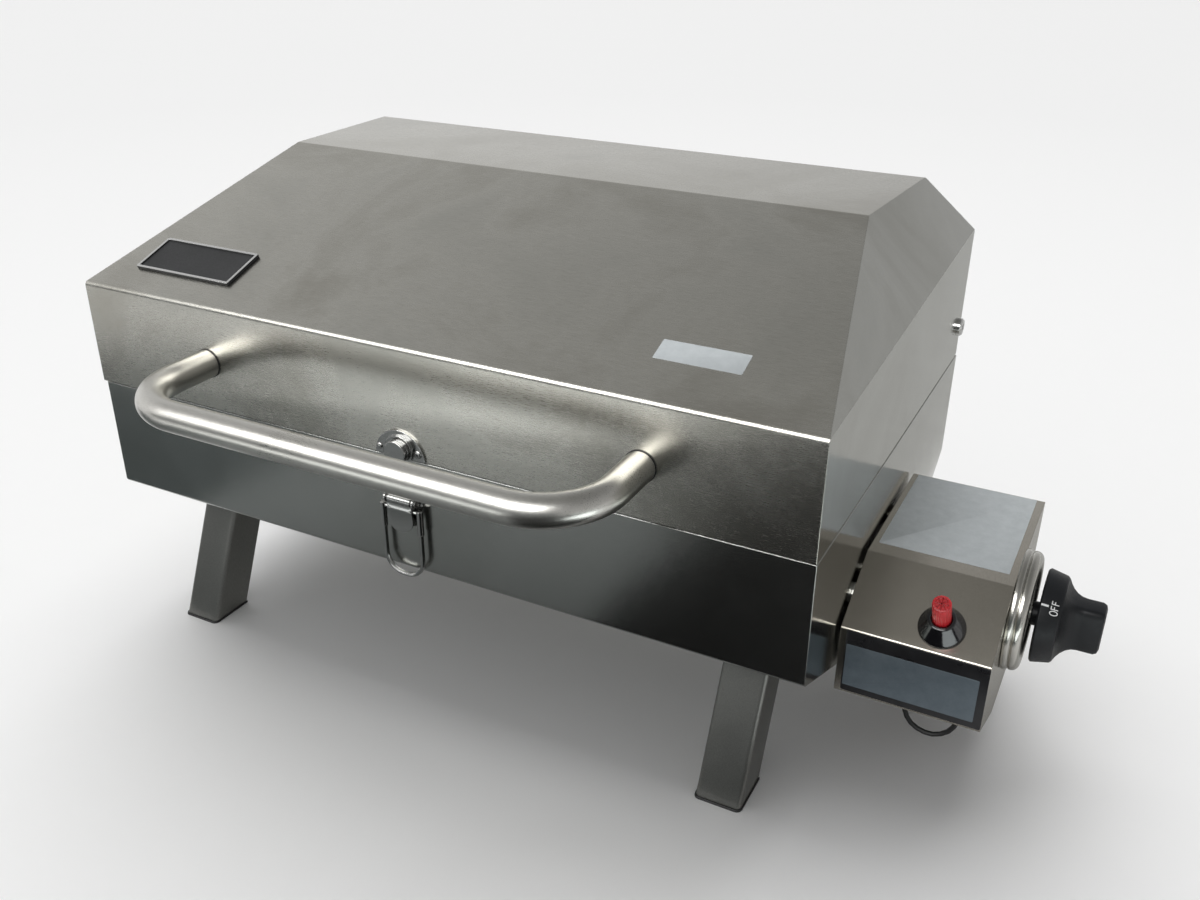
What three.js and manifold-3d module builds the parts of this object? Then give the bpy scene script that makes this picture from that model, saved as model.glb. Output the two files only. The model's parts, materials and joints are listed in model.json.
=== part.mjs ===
// Portable gas barbecue: a folded sheet-steel lid and base on folding legs, with a side box for the valve.
// Millimetres. X runs along the front from left to right, Y to the rear, Z up.
// The sizes below are taken from the base's lower front left corner.
import * as THREE from 'three';
import { mergeVertices } from 'three/addons/utils/BufferGeometryUtils.js';
import Module from 'manifold-3d';

// General
const SHEET = 1;
const TOUCH = 0.3;
const OVERRUN = 6;
const BEND = 3;
const DEG = Math.PI / 180;
const ARC_STEPS = 4;

// Base
const BASE_LENGTH = 435;
const BASE_DEPTH = 282;
const BASE_WALL = 66;
const BELLY_DROP = 39;
const FRONT_SLOPE = 23.5 * DEG;
const REAR_SLOPE = 30 * DEG;
const RIM_FLANGE = 8;
const RIM_STOP = 60;
const RIM_END = BASE_DEPTH - RIM_STOP;
const DRAIN_RADIUS = 11;

// Lid
const LID_LEFT = -2.75;
const LID_RIGHT_INSET = 0.25;
const LID_RIGHT = BASE_LENGTH - LID_RIGHT_INSET;
const LID_REAR_INSET = 1;
const LID_REAR = BASE_DEPTH - LID_REAR_INSET;
const SEAM_GAP = 0.4;
const LID_FRONT_TOP = 126.8;
const LID_RIDGE_FRONT = 153;
const REAR_FACET_DEPTH = 29.6;
const LID_RIDGE_REAR = LID_REAR - REAR_FACET_DEPTH;
const LID_TOP = 181.5;
const LID_SHOULDER = 147.2;
const RIDGE_INSET = 32.4;
const HEM = 8;

// Hinge
const HINGE_INSET = 9;
const HINGE_Y = BASE_DEPTH - HINGE_INSET;
const HINGE_Z = 88;
const HINGE_SCREW_RADIUS = 2.5;
const HINGE_HEAD_RADIUS = 5.5;
const HINGE_HEAD = 3;
const HINGE_NUT_RADIUS = 4.5;
const HINGE_NUT = 3;
const HINGE_CLEARANCE = 0.4;
const RELIEF = 1.2;
const EAR_SHEET = 1.5;
const EAR_CRANK = 2;
const EAR_CRANK_RISE = 5;
const EAR_CRANK_DROP = 3;
const EAR_REACH = 41;
const EAR_FOOT_WIDTH = 14;
const EAR_FRONT = HINGE_Y - EAR_REACH;
const EAR_BACK = EAR_FRONT + EAR_FOOT_WIDTH;
const EAR_FOOT_DROP = 42;

// Handle
const HANDLE_RADIUS = 8;
const HANDLE_LEFT = 85;
const HANDLE_RIGHT_INSET = 86.5;
const HANDLE_RIGHT = BASE_LENGTH - HANDLE_RIGHT_INSET;
const HANDLE_Z = 94;
const HANDLE_STAND = 61;
const HANDLE_BEND = 35.5;
const HANDLE_WALL = 1.5;
const HANDLE_INSERT = 14;
const SCREW_RADIUS = 3;
const SCREW_CLEARANCE = 0.3;
const SCREW_HEAD_RADIUS = 5.5;
const SCREW_HEAD = 3;
const SCREW_REACH = 11;

// Catch on the lid
const LATCH_OFFSET = 4.8;
const LATCH_X = BASE_LENGTH / 2 - LATCH_OFFSET;
const CATCH_RADIUS = 15.2;
const CATCH_SHEET = 1.2;
const CATCH_Z = 66.8;
const BOSS_Z = 71;
const BOSS_STEP_RADIUS = 8.6;
const BOSS_STEP = 2.5;
const BOSS_NECK_RADIUS = 6.2;
const BOSS_CAP_RADIUS = 6.8;
const BOSS_CAP_BACK = 4.2;
const BOSS_STAND = 6.3;

// Latch on the base
const LATCH_PIN_Z = 43;
const LATCH_PIN_OUT = 4;
const LATCH_PIN_RADIUS = 1.2;
const LATCH_SHEET = 1.2;
const LATCH_PLATE_HALF = 9.6;
const LATCH_PLATE_LOW = 27;
const LATCH_PLATE_HIGH = 49;
const LATCH_LUG_RADIUS = 2.6;
const LEVER_TOP_HALF = 7.2;
const LEVER_TIP_HALF = 8.2;
const LEVER_TIP_Z = 24.3;
const LEVER_FRONT = 5.3;
const LEVER_SHEET = 1;
const KNUCKLE_RADIUS = 2.3;
const LATCH_SIDE_GAP = 0.4;
const BAIL_PIVOT_Z = 37.5;
const BAIL_PIVOT_OUT = 3.6;
const BAIL_TAB_RADIUS = 1.9;
const BAIL_TAB = 0.9;
const BAIL_RADIUS = 1.3;
const BAIL_END_RADIUS = 1;
const BAIL_SLEEVE = 12.5;
const BAIL_SLEEVE_RADIUS = 1.8;
const BAIL_HALF = 11.7;
const BAIL_LENGTH = 39.7;
const BAIL_CORNER = 10.6;

// Name plate on the lid's slope
const PLATE_LEFT = 20.7;
const PLATE_RIGHT = 89.1;
const PLATE_LOW = 19.25;
const PLATE_HIGH = 47.8;
const PLATE_THICK = 1.6;
const PLATE_BORDER = 1.6;
const PLATE_SINK = 0.6;

// Side box
const BOX_GAP = 1.5;
const BOX_LEFT = BASE_LENGTH + BOX_GAP;
const BOX_WIDTH = 73;
const BOX_FRONT = 51.8;
const BOX_FRONT_TOP = 2.2;
const BOX_CREST = 90.6;
const BOX_TOP = 25.8;
const BOX_REAR = 188.6;
const BOX_FRONT_LOW = -35.5;
const BOX_LOW = -58;
const BOX_LOW_START = 100;
const BOX_BOLT_RADIUS = 3;
const BOX_BOLT_HEAD_RADIUS = 5.5;
const BOX_BOLT_HEAD = 3;
const BOX_BOLT_Z = 8;
const BOX_BOLT_FRONT = 76;
const BOX_BOLT_REAR_INSET = 23.6;
const BOX_BOLT_REAR = BOX_REAR - BOX_BOLT_REAR_INSET;

// Valve, knob and ring
const VALVE_Y = 112;
const VALVE_Z = 0.8;
const VALVE_RADIUS = 12;
const VALVE_LENGTH = 34;
const VALVE_NECK_RADIUS = 9;
const VALVE_NECK_STAND = 2.6;
const VALVE_BORE_RADIUS = 6.4;
const PLUG_RADIUS = 6.1;
const PLUG_LENGTH = 24;
const SPINDLE_BORE_RADIUS = 3.4;
const SPINDLE_RADIUS = 3.1;
const SPINDLE_FLAT = 2.1;
const JET_RADIUS = 4;
const JET_LENGTH = 16;
const JET_TIP_RADIUS = 2;
const INLET_RADIUS = 7;
const INLET_THREAD_RADIUS = 6;
const RING_RADIUS = 31.7;
const RING_FRONT_RADIUS = 30.8;
const RING_STEP = 6.8;
const RING_LIP_RADIUS = 26.6;
const RING_STAND = 8.2;
const RING_SHEET = 1.2;
const RING_DISH_RADIUS = 24;
const RING_DISH = 1.4;
const RING_HOLE_RADIUS = 8;
const KNOB_BACK = 12.4;
const KNOB_RADIUS = 24.4;
const KNOB_FRONT_RADIUS = 22.5;
const KNOB_SKIRT = 10.6;
const KNOB_STAND = 43;
const KNOB_GRIP_HALF = 7.5;
const KNOB_GRIP_HIGH = 13;
const KNOB_GRIP_LOW = 12;
const KNOB_BORE_DEPTH = 16;
const KNOB_BLEND = 10;
const KNOB_BLEND_STEPS = 6;
const KNOB_END_ROUND = 2.5;
const KNOB_SQUARENESS = 6;
const KNOB_TRAVEL = 3;

// Igniter
const IGNITER_ALONG = 46;
const IGNITER_X = BOX_LEFT + IGNITER_ALONG;
const IGNITER_UP = 14.2;
const IGNITER_RIM_RADIUS = 11.45;
const IGNITER_CONE = 9.9;
const IGNITER_CONE_RADIUS = 6.6;
const BUTTON_RADIUS = 4.55;
const BUTTON_STAND = 25.3;
const BUTTON_CLEARANCE = 0.35;
const BUTTON_SINK = 3;
const BARREL_RADIUS = 8;
const BARREL_LENGTH = 45;
const BARREL_NECK_RADIUS = 6;
const BARREL_NECK = 2;
const BUTTON_WELL = 9;

// Burner, racks, grate and flame tamer
const BURNER_RADIUS = 11;
const BURNER_SPACING = 58;
const BURNER_RETURN_Y = VALVE_Y + BURNER_SPACING;
const BURNER_INLET_END = 13.5;
const BURNER_BEND_X = 90;
const BURNER_RIGHT_ROOM = 55;
const BURNER_RETURN_END = BASE_LENGTH - BURNER_RIGHT_ROOM;
const BURNER_WALL = 1.5;
const PORT_COUNT = 8;
const PORT_WIDTH = 1.6;
const PORT_LENGTH = 9;
const PORT_DEPTH = 2.8;
const PORT_FIRST_X = 105;
const PORT_RIGHT_ROOM = 70;
const PORT_LAST_X = BASE_LENGTH - PORT_RIGHT_ROOM;
const SADDLE_X = 120;
const SADDLE_TOP = 0;
const SADDLE_FOOT = 12;
const RACK_FRONT = 32;
const RACK_REAR_ROOM = 70;
const RACK_REAR = BASE_DEPTH - RACK_REAR_ROOM;
const RACK_LOW = 20;
const RACK_LOW_LEDGE = 27;
const RACK_HIGH_LEDGE = 56;
const RACK_LOW_REACH = 20;
const RACK_HIGH_REACH = 16;
const GRATE_BAR = 3.5;
const GRATE_END_GAP = 11;
const GRATE_FRONT = 26;
const GRATE_REAR_ROOM = 64;
const GRATE_REAR = BASE_DEPTH - GRATE_REAR_ROOM;
const GRATE_COLUMNS = 27;
const GRATE_ROWS = 3;
const GRATE_CORNER = 8;
const TAMER_END_GAP = 15;
const TAMER_FRONT_INSET = 8;
const TAMER_REAR_INSET = 12;
const TAMER_FRONT = RACK_FRONT + TAMER_FRONT_INSET;
const TAMER_REAR = RACK_REAR - TAMER_REAR_INSET;
const TAMER_RIDGES = 5;
const TAMER_PITCH = (TAMER_REAR - TAMER_FRONT) / TAMER_RIDGES;
const TAMER_RISE = 9;
const TAMER_FLAT = 5;
const TAMER_SLOTS = 5;
const TAMER_SLOT_LENGTH = 40;
const TAMER_SLOT_WIDTH = 3;

// Electrode and its lead
const ELECTRODE_Y = 88;
const ELECTRODE_Z = -8;
const ELECTRODE_RADIUS = 3.5;
const ELECTRODE_LENGTH = 30;
const ELECTRODE_RIGHT_ROOM = 13;
const ELECTRODE_BACK_X = BASE_LENGTH - ELECTRODE_RIGHT_ROOM;
const ELECTRODE_FRONT_X = ELECTRODE_BACK_X - ELECTRODE_LENGTH;
const ELECTRODE_TIP_RADIUS = 0.9;
const ELECTRODE_TIP_LENGTH = 12;
const ELECTRODE_TIP_HOOK = 9;
const ELECTRODE_ARM = 18;
const LEAD_RADIUS = 1.4;
const LEAD_HOLE_RADIUS = 3;
// The lead's route, as chosen by hand: from the barrel, down in a loop, up and through the two walls.
// X is measured from the side box's left face.
const LEAD_ROUTE = [
  [46, 87.5, -29.5], [46.1, 89.6, -33], [48.5, 90, -39], [53.5, 88.8, -46], [57.1, 87.6, -53],
  [58.3, 87, -60], [55, 87, -68], [48.5, 87, -72.8], [41.5, 87, -73.2],
  [34.5, 87, -69.5], [30.8, 87, -62], [31.1, 87, -52], [32.5, 87.5, -40],
  [31.5, 88, -26], [27, 88, -14.5], [18.5, 88, -9.2], [8.5, 88, -8],
  [-1.5, 88, -8], [-14.1, 88, -8],
];
const LEAD_STEPS = 38;

// Drip tray
const TRAY_LEFT = 78;
const TRAY_RIGHT = BASE_LENGTH - TRAY_LEFT;
const TRAY_FRONT = 108;
const TRAY_REAR_ROOM = 86;
const TRAY_REAR = BASE_DEPTH - TRAY_REAR_ROOM;
const TRAY_TOP = 4.8;
const TRAY_DEPTH = 10.5;
const TRAY_LIP = 9;
const TRAY_PULL = 8;
const RAIL_SHEET = 1.2;
const RAIL_FRONT_REACH = 10;
const RAIL_REAR_REACH = 8;
const RAIL_FRONT = TRAY_FRONT - RAIL_FRONT_REACH;
const RAIL_REAR = TRAY_REAR + RAIL_REAR_REACH;
const RAIL_FLANGE = 9;

// Legs
const LEG_WIDTH = 25;
const LEG_LEFT_X = 40;
const LEG_RIGHT_X = BASE_LENGTH - LEG_LEFT_X;
const LEG_FRONT_ROOT = 52;
const LEG_REAR_ROOT = 49.4;
const FLOOR_Z = -91.8;
const LEG_PIN_DROP = 12.9;
const LEG_PIN_RADIUS = 2.5;
const LEG_TOP_GAP = 0.4;
const LEG_LONG = 110;
const SEAT_GAP = 0.05;
const LEG_BEND = 2.5;
const BRACKET_SHEET = 1.5;
const BRACKET_HALF = 9;
const BRACKET_SIDE_GAP = 0.4;
const BRACKET_EAR_RADIUS = 6;
const PIN_CLEARANCE = 0.3;
const CAP_FLANGE = 1;
const CAP_LIP = 0.6;
const CAP_PLUG = 12;
const CAP_WALL_GAP = 0.3;

// Colours from the photograph
const STEEL = { color: 0x8b8d86, roughness: 0.35, metalness: 1 };
const POLISHED = { color: 0xb4b6b4, roughness: 0.15, metalness: 1 };
const DARK_PLASTIC = { color: 0x16191d, roughness: 0.45, metalness: 0 };
const RED_PLASTIC = { color: 0xd3101f, roughness: 0.4, metalness: 0 };
const BLACK_PLATE = { color: 0x121416, roughness: 0.3, metalness: 0.2 };
const BRASS = { color: 0xb89a5a, roughness: 0.35, metalness: 1 };
const CERAMIC = { color: 0xe8e6df, roughness: 0.5, metalness: 0 };
const RUBBER = { color: 0x101010, roughness: 0.7, metalness: 0 };
const ENAMEL = { color: 0x2a2b2b, roughness: 0.5, metalness: 0.3 };

const wasm = await Module();
wasm.setup();

const grill = new THREE.Group();

// Geometry helpers

function closedGeometry(source) {
  const plain = source.index ? source.toNonIndexed() : source.clone();
  ['normal', 'uv'].forEach((name) => plain.deleteAttribute(name));
  const merged = mergeVertices(plain, 1e-4);
  const place = merged.attributes.position;
  const kept = [];
  const a = new THREE.Vector3();
  const b = new THREE.Vector3();
  const c = new THREE.Vector3();
  let volume = 0;
  for (let i = 0; i < merged.index.count; i += 3) {
    const [p, q, r] = [0, 1, 2].map((step) => merged.index.getX(i + step));
    if (p === q || q === r || r === p) {
      continue;
    }
    a.fromBufferAttribute(place, p);
    b.fromBufferAttribute(place, q);
    c.fromBufferAttribute(place, r);
    volume += a.dot(b.cross(c));
    kept.push(p, q, r);
  }
  if (volume < 0) {
    for (let i = 0; i < kept.length; i += 3) {
      [kept[i], kept[i + 1]] = [kept[i + 1], kept[i]];
    }
  }
  merged.setIndex(kept);
  return merged;
}

function solid(geometry) {
  const closed = closedGeometry(geometry);
  const mesh = new wasm.Mesh({
    numProp: 3,
    vertProperties: new Float32Array(closed.attributes.position.array),
    triVerts: new Uint32Array(closed.index.array),
  });
  return new wasm.Manifold(mesh);
}

function joined(...geometries) {
  return geometries.slice(1).reduce((sum, next) => sum.add(solid(next)), solid(geometries[0]));
}

function cut(body, ...geometries) {
  return geometries.reduce((rest, next) => rest.subtract(solid(next)), body);
}

function geometryOf(body) {
  const mesh = body.getMesh();
  const geometry = new THREE.BufferGeometry();
  geometry.setAttribute('position', new THREE.BufferAttribute(new Float32Array(mesh.vertProperties), 3));
  geometry.setIndex(new THREE.BufferAttribute(new Uint32Array(mesh.triVerts), 1));
  return geometry;
}

function block(x0, x1, y0, y1, z0, z1) {
  const box = new THREE.BoxGeometry(x1 - x0, y1 - y0, z1 - z0);
  return box.translate((x0 + x1) / 2, (y0 + y1) / 2, (z0 + z1) / 2);
}

// An outline with arcs of a given radius at its corners. A corner may carry its own radius as a third value.
function rounded(corners, radius) {
  const points = [];
  corners.forEach((corner, i) => {
    const here = new THREE.Vector2(corner[0], corner[1]);
    const before = new THREE.Vector2(...corners[(i + corners.length - 1) % corners.length].slice(0, 2));
    const after = new THREE.Vector2(...corners[(i + 1) % corners.length].slice(0, 2));
    const size = corner.length > 2 ? corner[2] : radius;
    const toBefore = before.clone().sub(here);
    const toAfter = after.clone().sub(here);
    const room = Math.min(toBefore.length(), toAfter.length()) / 2;
    const half = Math.abs(toBefore.angleTo(toAfter)) / 2;
    const reach = Math.min(size / Math.tan(half), room);
    if (reach <= 0 || size <= 0) {
      points.push(here);
      return;
    }
    const arcRadius = reach * Math.tan(half);
    const start = here.clone().addScaledVector(toBefore.normalize(), reach);
    const end = here.clone().addScaledVector(toAfter.normalize(), reach);
    const middle = toBefore.clone().add(toAfter).normalize();
    const centre = here.clone().addScaledVector(middle, arcRadius / Math.sin(half));
    const from = start.clone().sub(centre).angle();
    let sweep = end.clone().sub(centre).angle() - from;
    sweep = Math.atan2(Math.sin(sweep), Math.cos(sweep));
    for (let step = 0; step <= ARC_STEPS; step += 1) {
      const angle = from + (sweep * step) / ARC_STEPS;
      points.push(new THREE.Vector2(Math.cos(angle), Math.sin(angle)).multiplyScalar(arcRadius).add(centre));
    }
  });
  return points;
}

function extruded(points, depth) {
  const shape = new THREE.Shape(points);
  return new THREE.ExtrudeGeometry(shape, { depth, bevelEnabled: false, curveSegments: ARC_STEPS });
}

// A Y Z outline swept along X.
function alongX(points, x0, x1) {
  const turn = new THREE.Matrix4().set(0, 0, 1, x0, 1, 0, 0, 0, 0, 1, 0, 0, 0, 0, 0, 1);
  return extruded(points, x1 - x0).applyMatrix4(turn);
}

// An X Z outline swept along Y.
function alongY(points, y0, y1) {
  return extruded(points, y1 - y0).rotateX(Math.PI / 2).translate(0, y1, 0);
}

function alongZ(points, z0, z1) {
  return extruded(points, z1 - z0).translate(0, 0, z0);
}

function asPoints(list) {
  return list.map((pair) => new THREE.Vector2(pair[0], pair[1]));
}

function circle(u, v, radius, sides = 24) {
  return Array.from({ length: sides }, (_, i) => {
    const angle = (i / sides) * 2 * Math.PI;
    return new THREE.Vector2(u + radius * Math.cos(angle), v + radius * Math.sin(angle));
  });
}

// A turned body: pairs of radius and height along its axis, starting and ending on the axis or closed.
function turned(profile, sides = 32) {
  return new THREE.LatheGeometry(asPoints(profile), sides).rotateX(Math.PI / 2);
}

function turnedX(profile, x, y, z, sides = 32) {
  return turned(profile, sides).rotateY(Math.PI / 2).translate(x, y, z);
}

function turnedY(profile, x, y, z, sides = 32) {
  return turned(profile, sides).rotateX(Math.PI / 2).translate(x, y, z);
}

function rod(radius, start, end, sides = 16) {
  const from = new THREE.Vector3(...start);
  const way = new THREE.Vector3(...end).sub(from);
  const turn = new THREE.Quaternion().setFromUnitVectors(new THREE.Vector3(0, 1, 0), way.clone().normalize());
  const bar = new THREE.CylinderGeometry(radius, radius, way.length(), sides);
  return bar.applyQuaternion(turn).translate(...from.addScaledVector(way, 1 / 2).toArray());
}

// A path through set points, so that a tube has a ring at each of them.
class StationPath extends THREE.Curve {
  constructor(stations) {
    super();
    this.stations = stations;
  }

  getPoint(share) {
    const place = share * (this.stations.length - 1);
    const first = Math.min(Math.floor(place), this.stations.length - 2);
    return this.stations[first].clone().lerp(this.stations[first + 1], place - first);
  }

  getPointAt(share) {
    return this.getPoint(share);
  }

  getTangentAt(share) {
    const place = Math.round(share * (this.stations.length - 1));
    const here = this.stations[place];
    const sum = new THREE.Vector3();
    if (place > 0) {
      sum.add(here.clone().sub(this.stations[place - 1]).normalize());
    }
    if (place < this.stations.length - 1) {
      sum.add(this.stations[place + 1].clone().sub(here).normalize());
    }
    return sum.normalize();
  }
}

function bentStations(points, radius, steps) {
  const corners = points.map((point) => new THREE.Vector3(...point));
  const stations = [corners[0]];
  for (let i = 1; i < corners.length - 1; i += 1) {
    const back = corners[i - 1].clone().sub(corners[i]).normalize();
    const on = corners[i + 1].clone().sub(corners[i]).normalize();
    const half = back.angleTo(on) / 2;
    const start = corners[i].clone().addScaledVector(back, radius / Math.tan(half));
    const middle = back.clone().add(on).normalize();
    const centre = corners[i].clone().addScaledVector(middle, radius / Math.sin(half));
    const arm = start.sub(centre);
    const axis = on.clone().cross(back).normalize();
    const sweep = Math.PI - half * 2;
    for (let step = 0; step <= steps; step += 1) {
      const turnedArm = arm.clone().applyAxisAngle(axis, (sweep * step) / steps);
      stations.push(turnedArm.add(centre));
    }
  }
  stations.push(corners[corners.length - 1]);
  return stations;
}

function tube(stations, radius, sides = 16) {
  const section = new THREE.Shape(circle(0, 0, radius, sides));
  const path = new StationPath(stations);
  return new THREE.ExtrudeGeometry(section, { steps: stations.length - 1, extrudePath: path });
}

// A body along X through cross sections, each with its place, half width, height, depth and squareness.
function lofted(sections, sides) {
  const points = [];
  const faces = [];
  sections.forEach(([x, half, high, low, power]) => {
    circle(0, 0, 1, sides).forEach((point) => {
      const across = Math.sign(point.x) * Math.abs(point.x) ** (2 / power);
      const up = Math.sign(point.y) * Math.abs(point.y) ** (2 / power);
      points.push(x, half * across, (up > 0 ? high : low) * up);
    });
  });
  const last = (sections.length - 1) * sides;
  for (let start = 0; start < last; start += sides) {
    for (let i = 0; i < sides; i += 1) {
      const [a, b] = [start + i, start + ((i + 1) % sides)];
      faces.push(a, b, b + sides, a, b + sides, a + sides);
    }
  }
  for (let i = 1; i < sides - 1; i += 1) {
    faces.push(0, i + 1, i, last, last + i, last + i + 1);
  }
  const geometry = new THREE.BufferGeometry();
  geometry.setAttribute('position', new THREE.Float32BufferAttribute(points, 3));
  geometry.setIndex(faces);
  return geometry;
}

// A big block whose face lies on a plane and which fills the side that the normal points to.
function halfSpace(point, normal, size) {
  const side = new THREE.Vector3(0, 1, 0).cross(normal).normalize();
  const other = normal.clone().cross(side);
  const basis = new THREE.Matrix4().makeBasis(side, other, normal);
  const wall = new THREE.BoxGeometry(size, size, size).translate(0, 0, size / 2);
  return wall.applyMatrix4(basis).translate(point.x, point.y, point.z);
}

function mirroredX(geometry, middle) {
  return geometry.clone().applyMatrix4(new THREE.Matrix4().makeScale(-1, 1, 1)).translate(2 * middle, 0, 0);
}

function addMesh(name, geometry, look, parent = grill) {
  const mesh = new THREE.Mesh(closedGeometry(geometry), new THREE.MeshStandardMaterial(look));
  mesh.name = name;
  parent.add(mesh);
  return mesh;
}

// Each edge of an anticlockwise outline moved inwards, except the open edges, which move outwards.
function inset(corners, sheet, openEdges = []) {
  const lines = corners.map((corner, i) => {
    const start = new THREE.Vector2(...corner);
    const way = new THREE.Vector2(...corners[(i + 1) % corners.length]).sub(start).normalize();
    const move = openEdges.includes(i) ? -OVERRUN : sheet;
    return { start: start.add(new THREE.Vector2(-way.y, way.x).multiplyScalar(move)), way };
  });
  return lines.map((line, i) => {
    const before = lines[(i + lines.length - 1) % lines.length];
    const gap = line.start.clone().sub(before.start);
    const share = gap.cross(line.way) / before.way.cross(line.way);
    const point = before.start.clone().addScaledVector(before.way, share);
    return [point.x, point.y];
  });
}

// Base shell

const BELLY_FRONT = BELLY_DROP / Math.tan(FRONT_SLOPE);
const BELLY_REAR = BASE_DEPTH - BELLY_DROP / Math.tan(REAR_SLOPE);
const BASE_INNER_RIGHT = BASE_LENGTH - SHEET;
const BASE_MIDDLE = BASE_LENGTH / 2;

function baseShell() {
  const outer = [
    [0, BASE_WALL], [0, 0], [BELLY_FRONT, -BELLY_DROP], [BELLY_REAR, -BELLY_DROP],
    [BASE_DEPTH, 0], [BASE_DEPTH, BASE_WALL],
  ];
  const inner = inset(outer, SHEET, [5]);
  const square = (list) => list.map((point, i) => (i === 0 || i === 5 ? [...point, 0] : point));
  let shell = solid(alongX(rounded(square(outer), BEND), 0, BASE_LENGTH));
  shell = cut(shell, alongX(rounded(square(inner), BEND - SHEET), SHEET, BASE_INNER_RIGHT));
  const rimBack = BASE_WALL - SHEET;
  const sheetMiddle = SHEET / 2;
  const rims = [
    block(sheetMiddle, BASE_LENGTH - sheetMiddle, sheetMiddle, SHEET + RIM_FLANGE, rimBack, BASE_WALL),
    block(sheetMiddle, SHEET + RIM_FLANGE, SHEET, RIM_END, rimBack, BASE_WALL),
    block(BASE_INNER_RIGHT - RIM_FLANGE, BASE_LENGTH - sheetMiddle, SHEET, RIM_END, rimBack, BASE_WALL),
  ];
  rims.forEach((rim) => {
    shell = shell.add(solid(rim));
  });
  const drainY = (BELLY_FRONT + BELLY_REAR) / 2;
  const drain = rod(DRAIN_RADIUS, [BASE_MIDDLE, drainY, -BELLY_DROP - OVERRUN], [BASE_MIDDLE, drainY, 0], 24);
  const across = (radius, y, z) => {
    return rod(radius, [BASE_INNER_RIGHT - OVERRUN, y, z], [BASE_LENGTH + OVERRUN, y, z], 24);
  };
  return cut(
    shell,
    drain,
    across(BURNER_RADIUS + HINGE_CLEARANCE, VALVE_Y, VALVE_Z),
    across(LEAD_HOLE_RADIUS, ELECTRODE_Y, ELECTRODE_Z),
    across(BOX_BOLT_RADIUS + SCREW_CLEARANCE, BOX_BOLT_FRONT, BOX_BOLT_Z),
    across(BOX_BOLT_RADIUS + SCREW_CLEARANCE, BOX_BOLT_REAR, BOX_BOLT_Z),
  );
}

addMesh('base_shell', geometryOf(baseShell()), STEEL);

// Lid

const LID_LOW = BASE_WALL + SEAM_GAP;
const LID_SLOPE = Math.atan2(LID_TOP - LID_FRONT_TOP, LID_RIDGE_FRONT);

function lidEndNormal() {
  // The slanted end holds the front top corner, the rear shoulder and the front end of the ridge.
  const across = new THREE.Vector3(0, LID_REAR, LID_SHOULDER - LID_FRONT_TOP);
  const up = new THREE.Vector3(RIDGE_INSET, LID_RIDGE_FRONT, LID_TOP - LID_FRONT_TOP);
  return across.cross(up).normalize();
}

function lidBlock(sheet) {
  const outer = [
    [0, LID_LOW], [LID_REAR, LID_LOW], [LID_REAR, LID_SHOULDER],
    [LID_RIDGE_REAR, LID_TOP], [LID_RIDGE_FRONT, LID_TOP], [0, LID_FRONT_TOP],
  ];
  const outline = sheet > 0 ? inset(outer, sheet, [0]) : outer;
  const corners = outline.map((point, i) => (i < 2 ? [...point, 0] : point));
  const body = solid(alongX(rounded(corners, BEND - sheet), LID_LEFT + sheet, LID_RIGHT - sheet));
  const size = 2 * BASE_LENGTH;
  const outwards = lidEndNormal();
  if (outwards.x > 0) {
    outwards.negate();
  }
  const left = new THREE.Vector3(LID_LEFT, 0, LID_FRONT_TOP).addScaledVector(outwards, -sheet);
  const other = outwards.clone().setX(-outwards.x);
  const right = new THREE.Vector3(LID_RIGHT, 0, LID_FRONT_TOP).addScaledVector(other, -sheet);
  return cut(body, halfSpace(left, outwards, size), halfSpace(right, other, size));
}

// The rear corners are cut back so that they clear the base's end walls as the lid swings.
function lidRelief(x0, x1) {
  const reach = HINGE_Z - LID_LOW;
  const corner = solid(block(x0, x1, HINGE_Y, LID_REAR + OVERRUN, LID_LOW - OVERRUN, HINGE_Z));
  const sweep = rod(reach, [x0 - OVERRUN, HINGE_Y, HINGE_Z], [x1 + OVERRUN, HINGE_Y, HINGE_Z], 64);
  return corner.subtract(solid(sweep));
}

function lidShell() {
  let shell = lidBlock(0).subtract(lidBlock(SHEET));
  const hemTop = LID_LOW + HEM;
  const hemFront = LID_REAR - SHEET - HINGE_CLEARANCE;
  const half = SHEET / 2;
  const hems = [
    block(LID_LEFT + half, LID_RIGHT - half, half, 2 * SHEET, LID_LOW, hemTop),
    block(LID_LEFT + half, LID_LEFT + 2 * SHEET, SHEET, hemFront, LID_LOW, hemTop),
    block(LID_RIGHT - 2 * SHEET, LID_RIGHT - half, SHEET, hemFront, LID_LOW, hemTop),
  ];
  hems.forEach((hem) => {
    shell = shell.add(solid(hem));
  });
  const screwHole = SCREW_RADIUS + SCREW_CLEARANCE;
  const hingeHole = HINGE_SCREW_RADIUS + SCREW_CLEARANCE;
  [HANDLE_LEFT, HANDLE_RIGHT].forEach((x) => {
    shell = cut(shell, rod(screwHole, [x, -OVERRUN, HANDLE_Z], [x, OVERRUN, HANDLE_Z], 16));
  });
  [LID_LEFT, LID_RIGHT].forEach((x) => {
    shell = cut(shell, rod(hingeHole, [x - OVERRUN, HINGE_Y, HINGE_Z], [x + OVERRUN, HINGE_Y, HINGE_Z], 16));
  });
  const leftEnd = SHEET + RELIEF;
  const rightEnd = BASE_INNER_RIGHT - RELIEF;
  shell = shell.subtract(lidRelief(LID_LEFT - OVERRUN, leftEnd));
  return shell.subtract(lidRelief(rightEnd, LID_RIGHT + OVERRUN));
}

addMesh('lid_shell', geometryOf(lidShell()), STEEL);

// Handle with its screws

function handleTube(radius, back) {
  const corners = [
    [HANDLE_LEFT, back, HANDLE_Z], [HANDLE_LEFT, -HANDLE_STAND, HANDLE_Z],
    [HANDLE_RIGHT, -HANDLE_STAND, HANDLE_Z], [HANDLE_RIGHT, back, HANDLE_Z],
  ];
  return tube(bentStations(corners, HANDLE_BEND, 7), radius, 16);
}

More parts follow.
